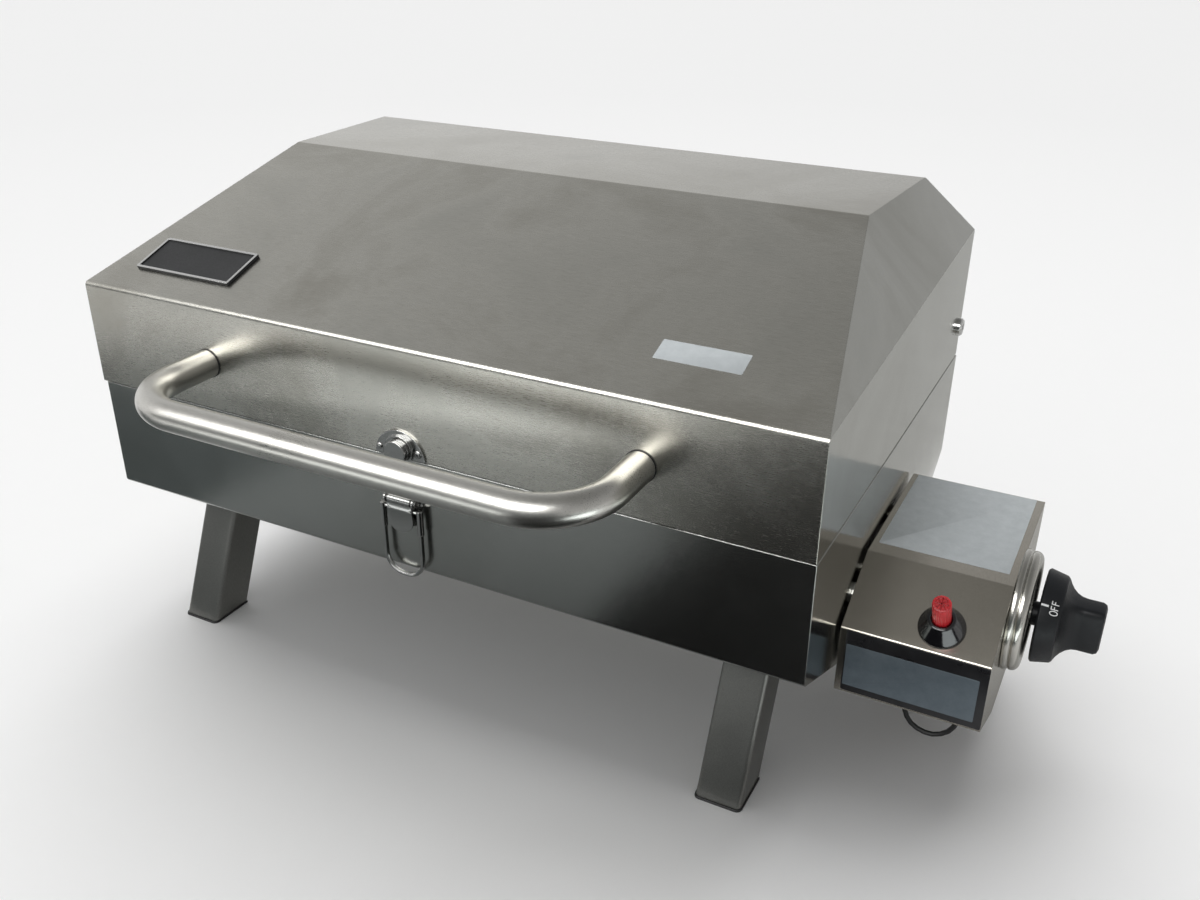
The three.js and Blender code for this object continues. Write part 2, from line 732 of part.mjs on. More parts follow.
function handle() {
  return cut(solid(handleTube(HANDLE_RADIUS, 0)), handleTube(HANDLE_RADIUS - HANDLE_WALL, OVERRUN));
}

// The threaded plug in an end of the handle, which its screw holds.
function handleInsert(x) {
  const outer = HANDLE_RADIUS - HANDLE_WALL - TOUCH;
  const inner = SCREW_RADIUS + SCREW_CLEARANCE;
  const profile = [[inner, 0], [outer, 0], [outer, HANDLE_INSERT], [inner, HANDLE_INSERT], [inner, 0]];
  return turnedY(profile, x, 0, HANDLE_Z, 16);
}

function handleScrew(x) {
  const shank = SCREW_HEAD + SHEET + SCREW_REACH;
  const profile = [
    [0, 0], [SCREW_HEAD_RADIUS, 0], [SCREW_HEAD_RADIUS, SCREW_HEAD],
    [SCREW_RADIUS, SCREW_HEAD], [SCREW_RADIUS, shank], [0, shank],
  ];
  return turnedY(profile, x, SHEET + SCREW_HEAD, HANDLE_Z, 16);
}

addMesh('lid_handle', geometryOf(handle()), POLISHED);
addMesh('handle_insert_left', handleInsert(HANDLE_LEFT), STEEL);
addMesh('handle_insert_right', handleInsert(HANDLE_RIGHT), STEEL);
addMesh('handle_screw_left', handleScrew(HANDLE_LEFT), STEEL);
addMesh('handle_screw_right', handleScrew(HANDLE_RIGHT), STEEL);

// Catch

function catchPiece() {
  const arc = Array.from({ length: 25 }, (_, i) => {
    const angle = (i / 24) * Math.PI;
    return [LATCH_X + CATCH_RADIUS * Math.cos(angle), CATCH_Z + CATCH_RADIUS * Math.sin(angle)];
  });
  const flange = alongY(asPoints(arc), -CATCH_SHEET, 0);
  const step = alongY(circle(LATCH_X, BOSS_Z, BOSS_STEP_RADIUS, 28), -BOSS_STEP, 0);
  const foot = block(
    LATCH_X - CATCH_RADIUS, LATCH_X + CATCH_RADIUS, -BOSS_STEP - OVERRUN, OVERRUN,
    CATCH_Z - BOSS_STEP_RADIUS, CATCH_Z,
  );
  const head = [
    [0, 0], [BOSS_NECK_RADIUS, 0], [BOSS_NECK_RADIUS, BOSS_CAP_BACK], [BOSS_CAP_RADIUS, BOSS_CAP_BACK],
    [BOSS_CAP_RADIUS, BOSS_STAND - TOUCH], [BOSS_CAP_RADIUS - TOUCH, BOSS_STAND], [0, BOSS_STAND],
  ];
  return cut(joined(flange, step), foot).add(solid(turnedY(head, LATCH_X, 0, BOSS_Z, 28)));
}

addMesh('lid_catch', geometryOf(catchPiece()), POLISHED);

// Name plate: a bordered blank plate on the lid's slope

function namePlate() {
  const corners = (margin) => rounded([
    [PLATE_LEFT + margin, PLATE_LOW + margin], [PLATE_RIGHT - margin, PLATE_LOW + margin],
    [PLATE_RIGHT - margin, PLATE_HIGH - margin], [PLATE_LEFT + margin, PLATE_HIGH - margin],
  ], SHEET);
  const plate = solid(alongZ(corners(0), TOUCH, TOUCH + PLATE_THICK));
  const sink = TOUCH + PLATE_THICK - PLATE_SINK;
  return cut(plate, alongZ(corners(PLATE_BORDER), sink, sink + OVERRUN));
}

const slope = new THREE.Group();
slope.position.set(0, 0, LID_FRONT_TOP);
slope.rotation.x = LID_SLOPE;
grill.add(slope);
addMesh('name_plate', geometryOf(namePlate()), BLACK_PLATE, slope);

// Hinge ears and screws

const EAR_ARM = LID_REAR - HINGE_Y - SHEET - TOUCH;

function hingeEar() {
  const wall = SHEET;
  const low = BASE_WALL - EAR_FOOT_DROP;
  const high = HINGE_Z + EAR_ARM;
  const crankTop = BASE_WALL - EAR_CRANK_DROP;
  const crankLow = crankTop - EAR_CRANK_RISE;
  const bent = asPoints([
    [wall, low], [wall + EAR_SHEET, low], [wall + EAR_SHEET, crankLow],
    [wall + EAR_SHEET + EAR_CRANK, crankTop], [wall + EAR_SHEET + EAR_CRANK, high],
    [wall + EAR_CRANK, high], [wall + EAR_CRANK, crankTop], [wall, crankLow],
  ]);
  const side = rounded([
    [EAR_FRONT, low, BEND], [EAR_BACK, low, BEND], [EAR_BACK, HINGE_Z - EAR_ARM, BEND],
    [HINGE_Y + EAR_ARM, HINGE_Z - EAR_ARM, EAR_ARM], [HINGE_Y + EAR_ARM, high, EAR_ARM],
    [EAR_FRONT, high, EAR_ARM],
  ], BEND);
  const sheet = solid(alongY(bent, EAR_FRONT, HINGE_Y + EAR_ARM));
  const outline = solid(alongX(side, 0, wall + EAR_CRANK + EAR_SHEET + OVERRUN));
  const hole = HINGE_SCREW_RADIUS + HINGE_CLEARANCE;
  return cut(sheet.intersect(outline), rod(hole, [0, HINGE_Y, HINGE_Z], [2 * OVERRUN, HINGE_Y, HINGE_Z], 20));
}

function hingeScrew(grip) {
  const rim = HINGE_HEAD / 3;
  const nut = HINGE_HEAD + grip + TOUCH;
  const profile = [
    [0, 0], [HINGE_HEAD_RADIUS - rim, 0], [HINGE_HEAD_RADIUS, rim], [HINGE_HEAD_RADIUS, HINGE_HEAD],
    [HINGE_SCREW_RADIUS, HINGE_HEAD], [HINGE_SCREW_RADIUS, nut], [HINGE_NUT_RADIUS, nut],
    [HINGE_NUT_RADIUS, nut + HINGE_NUT], [0, nut + HINGE_NUT],
  ];
  return turned(profile, 20).rotateY(Math.PI / 2).translate(-HINGE_HEAD, 0, 0);
}

const earInner = SHEET + EAR_CRANK + EAR_SHEET;
const ear = geometryOf(hingeEar());
addMesh('hinge_ear_left', ear, STEEL);
addMesh('hinge_ear_right', mirroredX(ear, BASE_MIDDLE), STEEL);
const leftScrew = addMesh('hinge_screw_left', hingeScrew(earInner - LID_LEFT), POLISHED);
leftScrew.position.set(LID_LEFT, HINGE_Y, HINGE_Z);
const rightScrew = addMesh('hinge_screw_right', hingeScrew(LID_RIGHT - BASE_LENGTH + earInner), POLISHED);
rightScrew.position.set(LID_RIGHT, HINGE_Y, HINGE_Z);
rightScrew.rotation.z = Math.PI;

// Latch on the base's front wall

const latch = new THREE.Group();
latch.position.set(LATCH_X, 0, 0);
grill.add(latch);

function bothSides(x0, x1, make) {
  return [make(x0, x1), make(-x1, -x0)];
}

function latchBase() {
  const narrow = LATCH_PLATE_HALF - LATCH_SHEET;
  const wide = BAIL_HALF + LATCH_SHEET / 2;
  const shoulder = LATCH_PIN_Z - LATCH_LUG_RADIUS;
  const outline = rounded([
    [-narrow, LATCH_PLATE_LOW], [narrow, LATCH_PLATE_LOW], [narrow, shoulder], [wide, shoulder],
    [wide, LATCH_PLATE_HIGH], [-wide, LATCH_PLATE_HIGH], [-wide, shoulder], [-narrow, shoulder],
  ], LATCH_SHEET);
  const lug = rounded([
    [-LATCH_PIN_OUT - LATCH_LUG_RADIUS, LATCH_PIN_Z - LATCH_LUG_RADIUS, LATCH_LUG_RADIUS],
    [-LATCH_SHEET / 2, LATCH_PIN_Z - LATCH_LUG_RADIUS, 0],
    [-LATCH_SHEET / 2, LATCH_PIN_Z + LATCH_LUG_RADIUS, 0],
    [-LATCH_PIN_OUT - LATCH_LUG_RADIUS, LATCH_PIN_Z + LATCH_LUG_RADIUS, LATCH_LUG_RADIUS],
  ], LATCH_LUG_RADIUS);
  const lugIn = LEVER_TOP_HALF + LATCH_SIDE_GAP + LATCH_SHEET / 2;
  const lugs = bothSides(lugIn, lugIn + LATCH_SHEET, (x0, x1) => alongX(lug, x0, x1));
  const reach = LATCH_PLATE_HALF + OVERRUN;
  const hole = LATCH_PIN_RADIUS + LATCH_SIDE_GAP / 4;
  const bore = rod(hole, [-reach, -LATCH_PIN_OUT, LATCH_PIN_Z], [reach, -LATCH_PIN_OUT, LATCH_PIN_Z]);
  return cut(joined(alongY(outline, -LATCH_SHEET, 0), ...lugs), bore);
}

const LUG_OUT = LEVER_TOP_HALF + LATCH_SIDE_GAP + LATCH_SHEET / 2 + LATCH_SHEET;

function latchPin() {
  const head = LATCH_PIN_RADIUS + LATCH_SIDE_GAP;
  const inner = LUG_OUT + LATCH_SIDE_GAP / 2;
  const outer = inner + LATCH_SIDE_GAP;
  const profile = [
    [0, -outer], [head, -outer], [head, -inner], [LATCH_PIN_RADIUS, -inner],
    [LATCH_PIN_RADIUS, inner], [head, inner], [head, outer], [0, outer],
  ];
  return turnedX(profile, 0, -LATCH_PIN_OUT, LATCH_PIN_Z, 16);
}

function latchLever() {
  const tip = Array.from({ length: 17 }, (_, i) => {
    const angle = Math.PI * (1 + i / 16);
    const centre = LEVER_TIP_Z + LEVER_TIP_HALF;
    return [LEVER_TIP_HALF * Math.cos(angle), centre + LEVER_TIP_HALF * Math.sin(angle)];
  });
  const outline = asPoints([[-LEVER_TOP_HALF, LATCH_PIN_Z], ...tip, [LEVER_TOP_HALF, LATCH_PIN_Z]]);
  const tongue = alongY(outline, -LEVER_FRONT, -LEVER_FRONT + LEVER_SHEET);
  const knuckle = rod(
    KNUCKLE_RADIUS,
    [-LEVER_TOP_HALF, -LATCH_PIN_OUT, LATCH_PIN_Z], [LEVER_TOP_HALF, -LATCH_PIN_OUT, LATCH_PIN_Z], 24,
  );
  const bossIn = LEVER_TOP_HALF - 2 * BAIL_TAB;
  const bosses = bothSides(bossIn, LEVER_TOP_HALF + BAIL_TAB / 2, (x0, x1) => {
    return rod(BAIL_TAB_RADIUS, [x0, -BAIL_PIVOT_OUT, BAIL_PIVOT_Z], [x1, -BAIL_PIVOT_OUT, BAIL_PIVOT_Z], 20);
  });
  const bailHole = BAIL_END_RADIUS + LATCH_SIDE_GAP / 2;
  const bores = bothSides(bossIn, LATCH_PLATE_HALF, (x0, x1) => {
    const inner = x0 > 0 ? x0 - OVERRUN / 2 : x0;
    const outer = x0 > 0 ? x1 : x1 + OVERRUN / 2;
    return rod(bailHole, [inner, -BAIL_PIVOT_OUT, BAIL_PIVOT_Z], [outer, -BAIL_PIVOT_OUT, BAIL_PIVOT_Z], 16);
  });
  const pinHole = LATCH_PIN_RADIUS + LATCH_SIDE_GAP / 2;
  const reach = LATCH_PLATE_HALF;
  const pinEnds = [-reach, reach].map((x) => [x, -LATCH_PIN_OUT, LATCH_PIN_Z]);
  const pinBore = rod(pinHole, ...pinEnds, 16);
  return cut(joined(tongue, knuckle, ...bosses), pinBore, ...bores);
}

function latchBail() {
  const top = BAIL_PIVOT_Z + BAIL_RADIUS;
  const low = BAIL_PIVOT_Z - BAIL_LENGTH;
  const y = -BAIL_PIVOT_OUT;
  const corners = [[-BAIL_HALF, y, top], [-BAIL_HALF, y, low], [BAIL_HALF, y, low], [BAIL_HALF, y, top]];
  const wire = tube(bentStations(corners, BAIL_CORNER, 7), BAIL_RADIUS, 10);
  const endIn = LEVER_TOP_HALF - BAIL_TAB;
  const ends = bothSides(endIn, BAIL_HALF, (x0, x1) => {
    return rod(BAIL_END_RADIUS, [x0, y, BAIL_PIVOT_Z], [x1, y, BAIL_PIVOT_Z], 10);
  });
  const sleeveLow = BAIL_PIVOT_Z - BAIL_SLEEVE;
  const sleeves = [-BAIL_HALF, BAIL_HALF].map((x) => {
    return rod(BAIL_SLEEVE_RADIUS, [x, y, sleeveLow], [x, y, BAIL_PIVOT_Z + BAIL_SLEEVE_RADIUS], 12);
  });
  return joined(wire, ...ends, ...sleeves);
}

addMesh('latch_base', geometryOf(latchBase()), POLISHED, latch);
addMesh('latch_pin', latchPin(), POLISHED, latch);
addMesh('latch_lever', geometryOf(latchLever()), POLISHED, latch);
addMesh('latch_bail', geometryOf(latchBail()), POLISHED, latch);

// Side box and its bolts

const BOX_RIGHT = BOX_LEFT + BOX_WIDTH;
const BOX_SLOPE = Math.atan2(BOX_TOP - BOX_FRONT_TOP, BOX_CREST - BOX_FRONT);
const VALVE_X = BOX_RIGHT - SHEET - VALVE_LENGTH / 2;

function controlBox() {
  const outer = [
    [BOX_FRONT, BOX_FRONT_LOW], [BOX_LOW_START, BOX_LOW], [BOX_REAR, BOX_LOW],
    [BOX_REAR, BOX_TOP], [BOX_CREST, BOX_TOP], [BOX_FRONT, BOX_FRONT_TOP],
  ];
  const square = (list) => list.map((point, i) => (i < 3 ? [...point, 0] : point));
  const inner = inset(outer, SHEET, [0, 1]);
  const below = BOX_LOW - OVERRUN;
  const open = [inner[0], [BOX_LOW_START, below], [inner[2][0], below], ...inner.slice(3)];
  const body = solid(alongX(rounded(square(outer), BEND / 2), BOX_LEFT, BOX_RIGHT));
  const hollow = alongX(rounded(square(open), BEND / 2 - SHEET), BOX_LEFT + SHEET, BOX_RIGHT - SHEET);
  const across = (radius, x, y, z) => rod(radius, [x - OVERRUN, y, z], [x + OVERRUN, y, z], 16);
  const hole = new THREE.CylinderGeometry(
    BARREL_NECK_RADIUS + SCREW_CLEARANCE, BARREL_NECK_RADIUS + SCREW_CLEARANCE, 2 * OVERRUN, 24,
  );
  hole.rotateX(Math.PI / 2 + BOX_SLOPE).translate(IGNITER_X, igniterY, igniterZ);
  const rear = rod(
    INLET_RADIUS + SCREW_CLEARANCE,
    [VALVE_X, BOX_REAR - OVERRUN, VALVE_Z], [VALVE_X, BOX_REAR + OVERRUN, VALVE_Z], 24,
  );
  return cut(
    body,
    hollow,
    hole,
    rear,
    across(BURNER_RADIUS + HINGE_CLEARANCE, BOX_LEFT, VALVE_Y, VALVE_Z),
    across(LEAD_HOLE_RADIUS, BOX_LEFT, ELECTRODE_Y, ELECTRODE_Z),
    across(BOX_BOLT_RADIUS + SCREW_CLEARANCE, BOX_LEFT, BOX_BOLT_FRONT, BOX_BOLT_Z),
    across(BOX_BOLT_RADIUS + SCREW_CLEARANCE, BOX_LEFT, BOX_BOLT_REAR, BOX_BOLT_Z),
    across(VALVE_NECK_RADIUS + SCREW_CLEARANCE, BOX_RIGHT, VALVE_Y, VALVE_Z),
  );
}

const igniterY = BOX_FRONT + IGNITER_UP * Math.cos(BOX_SLOPE);
const igniterZ = BOX_FRONT_TOP + IGNITER_UP * Math.sin(BOX_SLOPE);
addMesh('control_box', geometryOf(controlBox()), STEEL);

// A bolt with its spacer and nut, from the base's inside outwards.
function boxBolt(y) {
  const wall = BOX_BOLT_HEAD + SHEET;
  const gap = BOX_LEFT - BASE_LENGTH;
  const panel = wall + gap + SHEET;
  const profile = [
    [0, 0], [BOX_BOLT_HEAD_RADIUS, 0], [BOX_BOLT_HEAD_RADIUS, BOX_BOLT_HEAD],
    [BOX_BOLT_RADIUS, BOX_BOLT_HEAD], [BOX_BOLT_RADIUS, wall], [BOX_BOLT_HEAD_RADIUS, wall],
    [BOX_BOLT_HEAD_RADIUS, wall + gap], [BOX_BOLT_RADIUS, wall + gap], [BOX_BOLT_RADIUS, panel],
    [BOX_BOLT_HEAD_RADIUS, panel], [BOX_BOLT_HEAD_RADIUS, panel + BOX_BOLT_HEAD], [0, panel + BOX_BOLT_HEAD],
  ];
  return turnedX(profile, BASE_INNER_RIGHT - BOX_BOLT_HEAD, y, BOX_BOLT_Z, 16);
}

addMesh('box_bolt_front', boxBolt(BOX_BOLT_FRONT), STEEL);
addMesh('box_bolt_rear', boxBolt(BOX_BOLT_REAR), STEEL);

// Valve, its plug and spindle, the inlet, the ring and the knob. They share one axis along X.

const axis = new THREE.Group();
axis.position.set(BOX_RIGHT, VALVE_Y, VALVE_Z);
grill.add(axis);

function dShape(radius, flat) {
  return circle(0, 0, radius, 24).map((point) => new THREE.Vector2(point.x, Math.min(point.y, flat)));
}

function gasValve() {
  const back = -SHEET - VALVE_LENGTH;
  const jetBack = back - JET_LENGTH;
  const jetTip = BASE_LENGTH + BURNER_INLET_END - SCREW_HEAD - BOX_RIGHT;
  const profile = [
    [0, jetTip], [JET_TIP_RADIUS, jetTip], [JET_TIP_RADIUS, jetBack], [JET_RADIUS, jetBack + JET_TIP_RADIUS],
    [JET_RADIUS, back], [VALVE_RADIUS, back], [VALVE_RADIUS, -SHEET], [VALVE_NECK_RADIUS, -SHEET],
    [VALVE_NECK_RADIUS, VALVE_NECK_STAND], [0, VALVE_NECK_STAND],
  ];
  const body = solid(turnedX(profile, 0, 0, 0, 28));
  const middle = -SHEET - VALVE_LENGTH / 2;
  const port = rod(INLET_RADIUS, [middle, 0, 0], [middle, VALVE_RADIUS + SCREW_HEAD, 0], 20);
  const boreEnd = VALVE_NECK_STAND - PLUG_LENGTH - TOUCH;
  return cut(body.add(solid(port)), rod(VALVE_BORE_RADIUS, [boreEnd, 0, 0], [OVERRUN, 0, 0], 28));
}

function valvePlug() {
  const back = VALVE_NECK_STAND - PLUG_LENGTH;
  const plug = solid(rod(PLUG_RADIUS, [back, 0, 0], [VALVE_NECK_STAND, 0, 0], 24));
  const bore = alongX(dShape(SPINDLE_BORE_RADIUS, SPINDLE_FLAT + TOUCH), back + PLUG_RADIUS, OVERRUN);
  return cut(plug, bore);
}

const SPINDLE_END = KNOB_BACK + KNOB_BORE_DEPTH - TOUCH;

function valveSpindle() {
  const back = VALVE_NECK_STAND - PLUG_LENGTH + PLUG_RADIUS + KNOB_TRAVEL + TOUCH;
  return alongX(dShape(SPINDLE_RADIUS, SPINDLE_FLAT), back, SPINDLE_END);
}

function gasInlet() {
  const start = VALVE_RADIUS + SCREW_HEAD + TOUCH;
  const wall = BOX_REAR - VALVE_Y;
  const profile = [
    [0, 0], [INLET_THREAD_RADIUS, 0], [INLET_THREAD_RADIUS, wall - start],
    [INLET_RADIUS, wall - start], [INLET_RADIUS, wall - start + INLET_RADIUS],
    [INLET_THREAD_RADIUS, wall - start + INLET_RADIUS],
    [INLET_THREAD_RADIUS, wall - start + 2 * INLET_RADIUS], [0, wall - start + 2 * INLET_RADIUS],
  ];
  const pipe = turned(profile, 20).rotateX(-Math.PI / 2);
  return pipe.translate(-SHEET - VALVE_LENGTH / 2, start, 0);
}

function bezelRing() {
  const inner = RING_STEP - RING_SHEET;
  const seam = RING_STEP / 2;
  const groove = RING_SHEET / 3;
  const profile = [
    [RING_RADIUS, 0], [RING_RADIUS - groove, seam - groove], [RING_RADIUS - 2 * groove, seam],
    [RING_RADIUS - groove, seam + groove], [RING_FRONT_RADIUS, RING_STEP], [RING_LIP_RADIUS, RING_STAND],
    [RING_DISH_RADIUS, RING_STAND], [RING_DISH_RADIUS - RING_DISH, RING_STAND - RING_DISH],
    [RING_HOLE_RADIUS, RING_STAND - RING_DISH], [RING_HOLE_RADIUS, inner],
    [RING_FRONT_RADIUS - 2 * RING_SHEET, inner], [RING_RADIUS - 2 * RING_SHEET, 0],
    [RING_RADIUS, 0],
  ];
  return turnedX(profile, 0, 0, 0, 36);
}

// The grip's foot is as round as the skirt, and it narrows in a hollow curve to a flat bar.
function knobGrip() {
  const front = KNOB_BACK + KNOB_SKIRT;
  const foot = KNOB_FRONT_RADIUS - SHEET;
  const sections = [[front - SHEET, foot, foot, foot, 2]];
  for (let step = 0; step <= KNOB_BLEND_STEPS; step += 1) {
    const angle = (step / KNOB_BLEND_STEPS) * (Math.PI / 2);
    const narrowed = Math.sin(angle);
    const [half, high, low] = [KNOB_GRIP_HALF, KNOB_GRIP_HIGH, KNOB_GRIP_LOW].map((size) => {
      return THREE.MathUtils.lerp(foot, size, narrowed);
    });
    const power = THREE.MathUtils.lerp(2, KNOB_SQUARENESS, narrowed);
    sections.push([front + KNOB_BLEND * (1 - Math.cos(angle)), half, high, low, power]);
  }
  [90, 45, 0].forEach((degrees) => {
    const back = KNOB_END_ROUND * (1 - Math.cos(degrees * DEG));
    const inwards = KNOB_END_ROUND * (1 - Math.sin(degrees * DEG));
    sections.push([
      KNOB_STAND - back, KNOB_GRIP_HALF - inwards, KNOB_GRIP_HIGH - inwards, KNOB_GRIP_LOW - inwards,
      KNOB_SQUARENESS,
    ]);
  });
  return lofted(sections, 32);
}

function controlKnob() {
  const edge = SHEET;
  const front = KNOB_BACK + KNOB_SKIRT;
  const skirt = [
    [0, KNOB_BACK], [KNOB_RADIUS - edge, KNOB_BACK], [KNOB_RADIUS, KNOB_BACK + edge],
    [KNOB_FRONT_RADIUS, front - edge], [KNOB_FRONT_RADIUS - edge, front], [0, front],
  ];
  const fit = TOUCH / 3;
  const bore = alongX(dShape(SPINDLE_RADIUS + fit, SPINDLE_FLAT + fit), 0, KNOB_BACK + KNOB_BORE_DEPTH);
  return cut(joined(turnedX(skirt, 0, 0, 0, 48), knobGrip()), bore);
}

addMesh('gas_valve', geometryOf(gasValve()), BRASS, axis);
addMesh('valve_plug', geometryOf(valvePlug()), BRASS, axis);
addMesh('valve_spindle', valveSpindle(), STEEL, axis);
addMesh('gas_inlet', gasInlet(), BRASS, axis);
addMesh('bezel_ring', bezelRing(), POLISHED, axis);
addMesh('control_knob', geometryOf(controlKnob()), DARK_PLASTIC, axis);

// Igniter on the side box's slope

const igniter = new THREE.Group();
igniter.position.set(IGNITER_X, igniterY, igniterZ);
igniter.rotation.x = BOX_SLOPE;
grill.add(igniter);
const BUTTON_BORE = BUTTON_RADIUS + BUTTON_CLEARANCE;

function igniterBezel() {
  const seat = BARREL_NECK + TOUCH;
  const recess = BARREL_NECK_RADIUS + SCREW_CLEARANCE;
  const profile = [
    [recess, TOUCH], [IGNITER_RIM_RADIUS, TOUCH], [IGNITER_RIM_RADIUS, TOUCH + SHEET],
    [IGNITER_CONE_RADIUS, IGNITER_CONE - SHEET / 2], [IGNITER_CONE_RADIUS - SHEET / 2, IGNITER_CONE],
    [BUTTON_BORE, IGNITER_CONE], [BUTTON_BORE, seat], [recess, seat], [recess, TOUCH],
  ];
  return turned(profile, 28);
}

function igniterBody() {
  const shoulder = -SHEET - TOUCH;
  const profile = [
    [0, -BARREL_LENGTH], [BARREL_RADIUS, -BARREL_LENGTH], [BARREL_RADIUS, shoulder],
    [BARREL_NECK_RADIUS, shoulder], [BARREL_NECK_RADIUS, BARREL_NECK], [BUTTON_BORE, BARREL_NECK],
    [BUTTON_BORE, -BUTTON_WELL], [0, -BUTTON_WELL],
  ];
  return turned(profile, 24);
}

function igniterButton() {
  const edge = SHEET / 2;
  const profile = [
    [0, -BUTTON_SINK], [BUTTON_RADIUS, -BUTTON_SINK], [BUTTON_RADIUS, BUTTON_STAND - edge],
    [BUTTON_RADIUS - edge, BUTTON_STAND], [0, BUTTON_STAND],
  ];
  return turned(profile, 28);
}

addMesh('igniter_bezel', igniterBezel(), DARK_PLASTIC, igniter);
addMesh('igniter_body', igniterBody(), DARK_PLASTIC, igniter);
addMesh('igniter_button', igniterButton(), RED_PLASTIC, igniter);

// Electrode, its bracket and the lead

function electrode() {
  const body = rod(
    ELECTRODE_RADIUS,
    [ELECTRODE_FRONT_X, ELECTRODE_Y, ELECTRODE_Z], [ELECTRODE_BACK_X, ELECTRODE_Y, ELECTRODE_Z], 16,
  );
  const bendX = ELECTRODE_FRONT_X - ELECTRODE_TIP_LENGTH;
  const hook = ELECTRODE_TIP_HOOK / 2;
  const stations = bentStations([
    [ELECTRODE_FRONT_X + ELECTRODE_RADIUS, ELECTRODE_Y, ELECTRODE_Z], [bendX, ELECTRODE_Y, ELECTRODE_Z],
    [bendX, ELECTRODE_Y + ELECTRODE_TIP_HOOK, ELECTRODE_Z + hook],
  ], ELECTRODE_RADIUS, ARC_STEPS);
  return joined(body, tube(stations, ELECTRODE_TIP_RADIUS, 8));
}

function electrodeBracket() {
  const top = ELECTRODE_Z - ELECTRODE_RADIUS - TOUCH;
  const half = ELECTRODE_RADIUS + SHEET;
  const front = ELECTRODE_BACK_X - ELECTRODE_ARM;
  const inner = BASE_INNER_RIGHT - SHEET;
  const outline = asPoints([
    [front, top - SHEET], [inner, top - SHEET], [inner, top - ELECTRODE_ARM / 2],
    [BASE_INNER_RIGHT, top - ELECTRODE_ARM / 2], [BASE_INNER_RIGHT, top], [front, top],
  ]);
  return alongY(outline, ELECTRODE_Y - half, ELECTRODE_Y + half);
}

function ignitionLead() {
  const points = LEAD_ROUTE.map(([x, y, z]) => new THREE.Vector3(BOX_LEFT + x, y, z));
  const route = new THREE.CatmullRomCurve3(points);
  return tube(route.getSpacedPoints(LEAD_STEPS), LEAD_RADIUS, 8);
}

addMesh('electrode', geometryOf(electrode()), CERAMIC);
addMesh('electrode_bracket', electrodeBracket(), STEEL);
addMesh('ignition_lead', ignitionLead(), RUBBER);

// Burner and its saddle

function burner() {
  const inlet = BASE_LENGTH + BURNER_INLET_END;
  const bend = (BURNER_RETURN_Y - VALVE_Y) / 2 - SHEET / 2;
  const left = BURNER_BEND_X - bend;
  const bentTube = (radius, start, end) => tube(bentStations([
    [start, VALVE_Y, VALVE_Z], [left, VALVE_Y, VALVE_Z], [left, BURNER_RETURN_Y, VALVE_Z],
    [end, BURNER_RETURN_Y, VALVE_Z],
  ], bend, 8), radius, 16);
  const cuts = [bentTube(BURNER_RADIUS - BURNER_WALL, inlet + OVERRUN, BURNER_RETURN_END - BURNER_WALL)];
  const top = VALVE_Z + BURNER_RADIUS;
  [VALVE_Y, BURNER_RETURN_Y].forEach((y) => {
    for (let i = 0; i < PORT_COUNT; i += 1) {
      const x = PORT_FIRST_X + ((PORT_LAST_X - PORT_FIRST_X) * i) / (PORT_COUNT - 1);
      const [x0, x1] = [x - PORT_WIDTH / 2, x + PORT_WIDTH / 2];
      cuts.push(block(x0, x1, y - PORT_LENGTH / 2, y + PORT_LENGTH / 2, top - PORT_DEPTH, top + OVERRUN));
    }
  });
  return cut(solid(bentTube(BURNER_RADIUS, inlet, BURNER_RETURN_END)), ...cuts);
}

function burnerBracket() {
  const floor = -BELLY_DROP + SHEET;
  const front = VALVE_Y - BURNER_RADIUS;
  const rear = BURNER_RETURN_Y + BURNER_RADIUS;
  const plate = block(SADDLE_X, SADDLE_X + SHEET, front, rear, floor, SADDLE_TOP);
  const foot = block(SADDLE_X, SADDLE_X + SADDLE_FOOT, front, rear, floor, floor + SHEET);
  const notches = [VALVE_Y, BURNER_RETURN_Y].map((y) => {
    return rod(BURNER_RADIUS + TOUCH, [SADDLE_X - OVERRUN, y, VALVE_Z], [SADDLE_X + OVERRUN, y, VALVE_Z], 24);
  });
  return cut(joined(plate, foot), ...notches);
}

addMesh('burner', geometryOf(burner()), STEEL);
addMesh('burner_bracket', geometryOf(burnerBracket()), STEEL);

// Racks, flame tamer and cooking grate

function rack() {
  const wall = SHEET;
  const outline = asPoints([
    [wall, RACK_LOW], [wall + SHEET, RACK_LOW], [wall + SHEET, RACK_LOW_LEDGE - SHEET],
    [RACK_LOW_REACH, RACK_LOW_LEDGE - SHEET], [RACK_LOW_REACH, RACK_LOW_LEDGE],
    [wall + SHEET, RACK_LOW_LEDGE], [wall + SHEET, RACK_HIGH_LEDGE - SHEET],
    [RACK_HIGH_REACH, RACK_HIGH_LEDGE - SHEET], [RACK_HIGH_REACH, RACK_HIGH_LEDGE], [wall, RACK_HIGH_LEDGE],
  ]);
  return alongY(outline, RACK_FRONT, RACK_REAR);
}

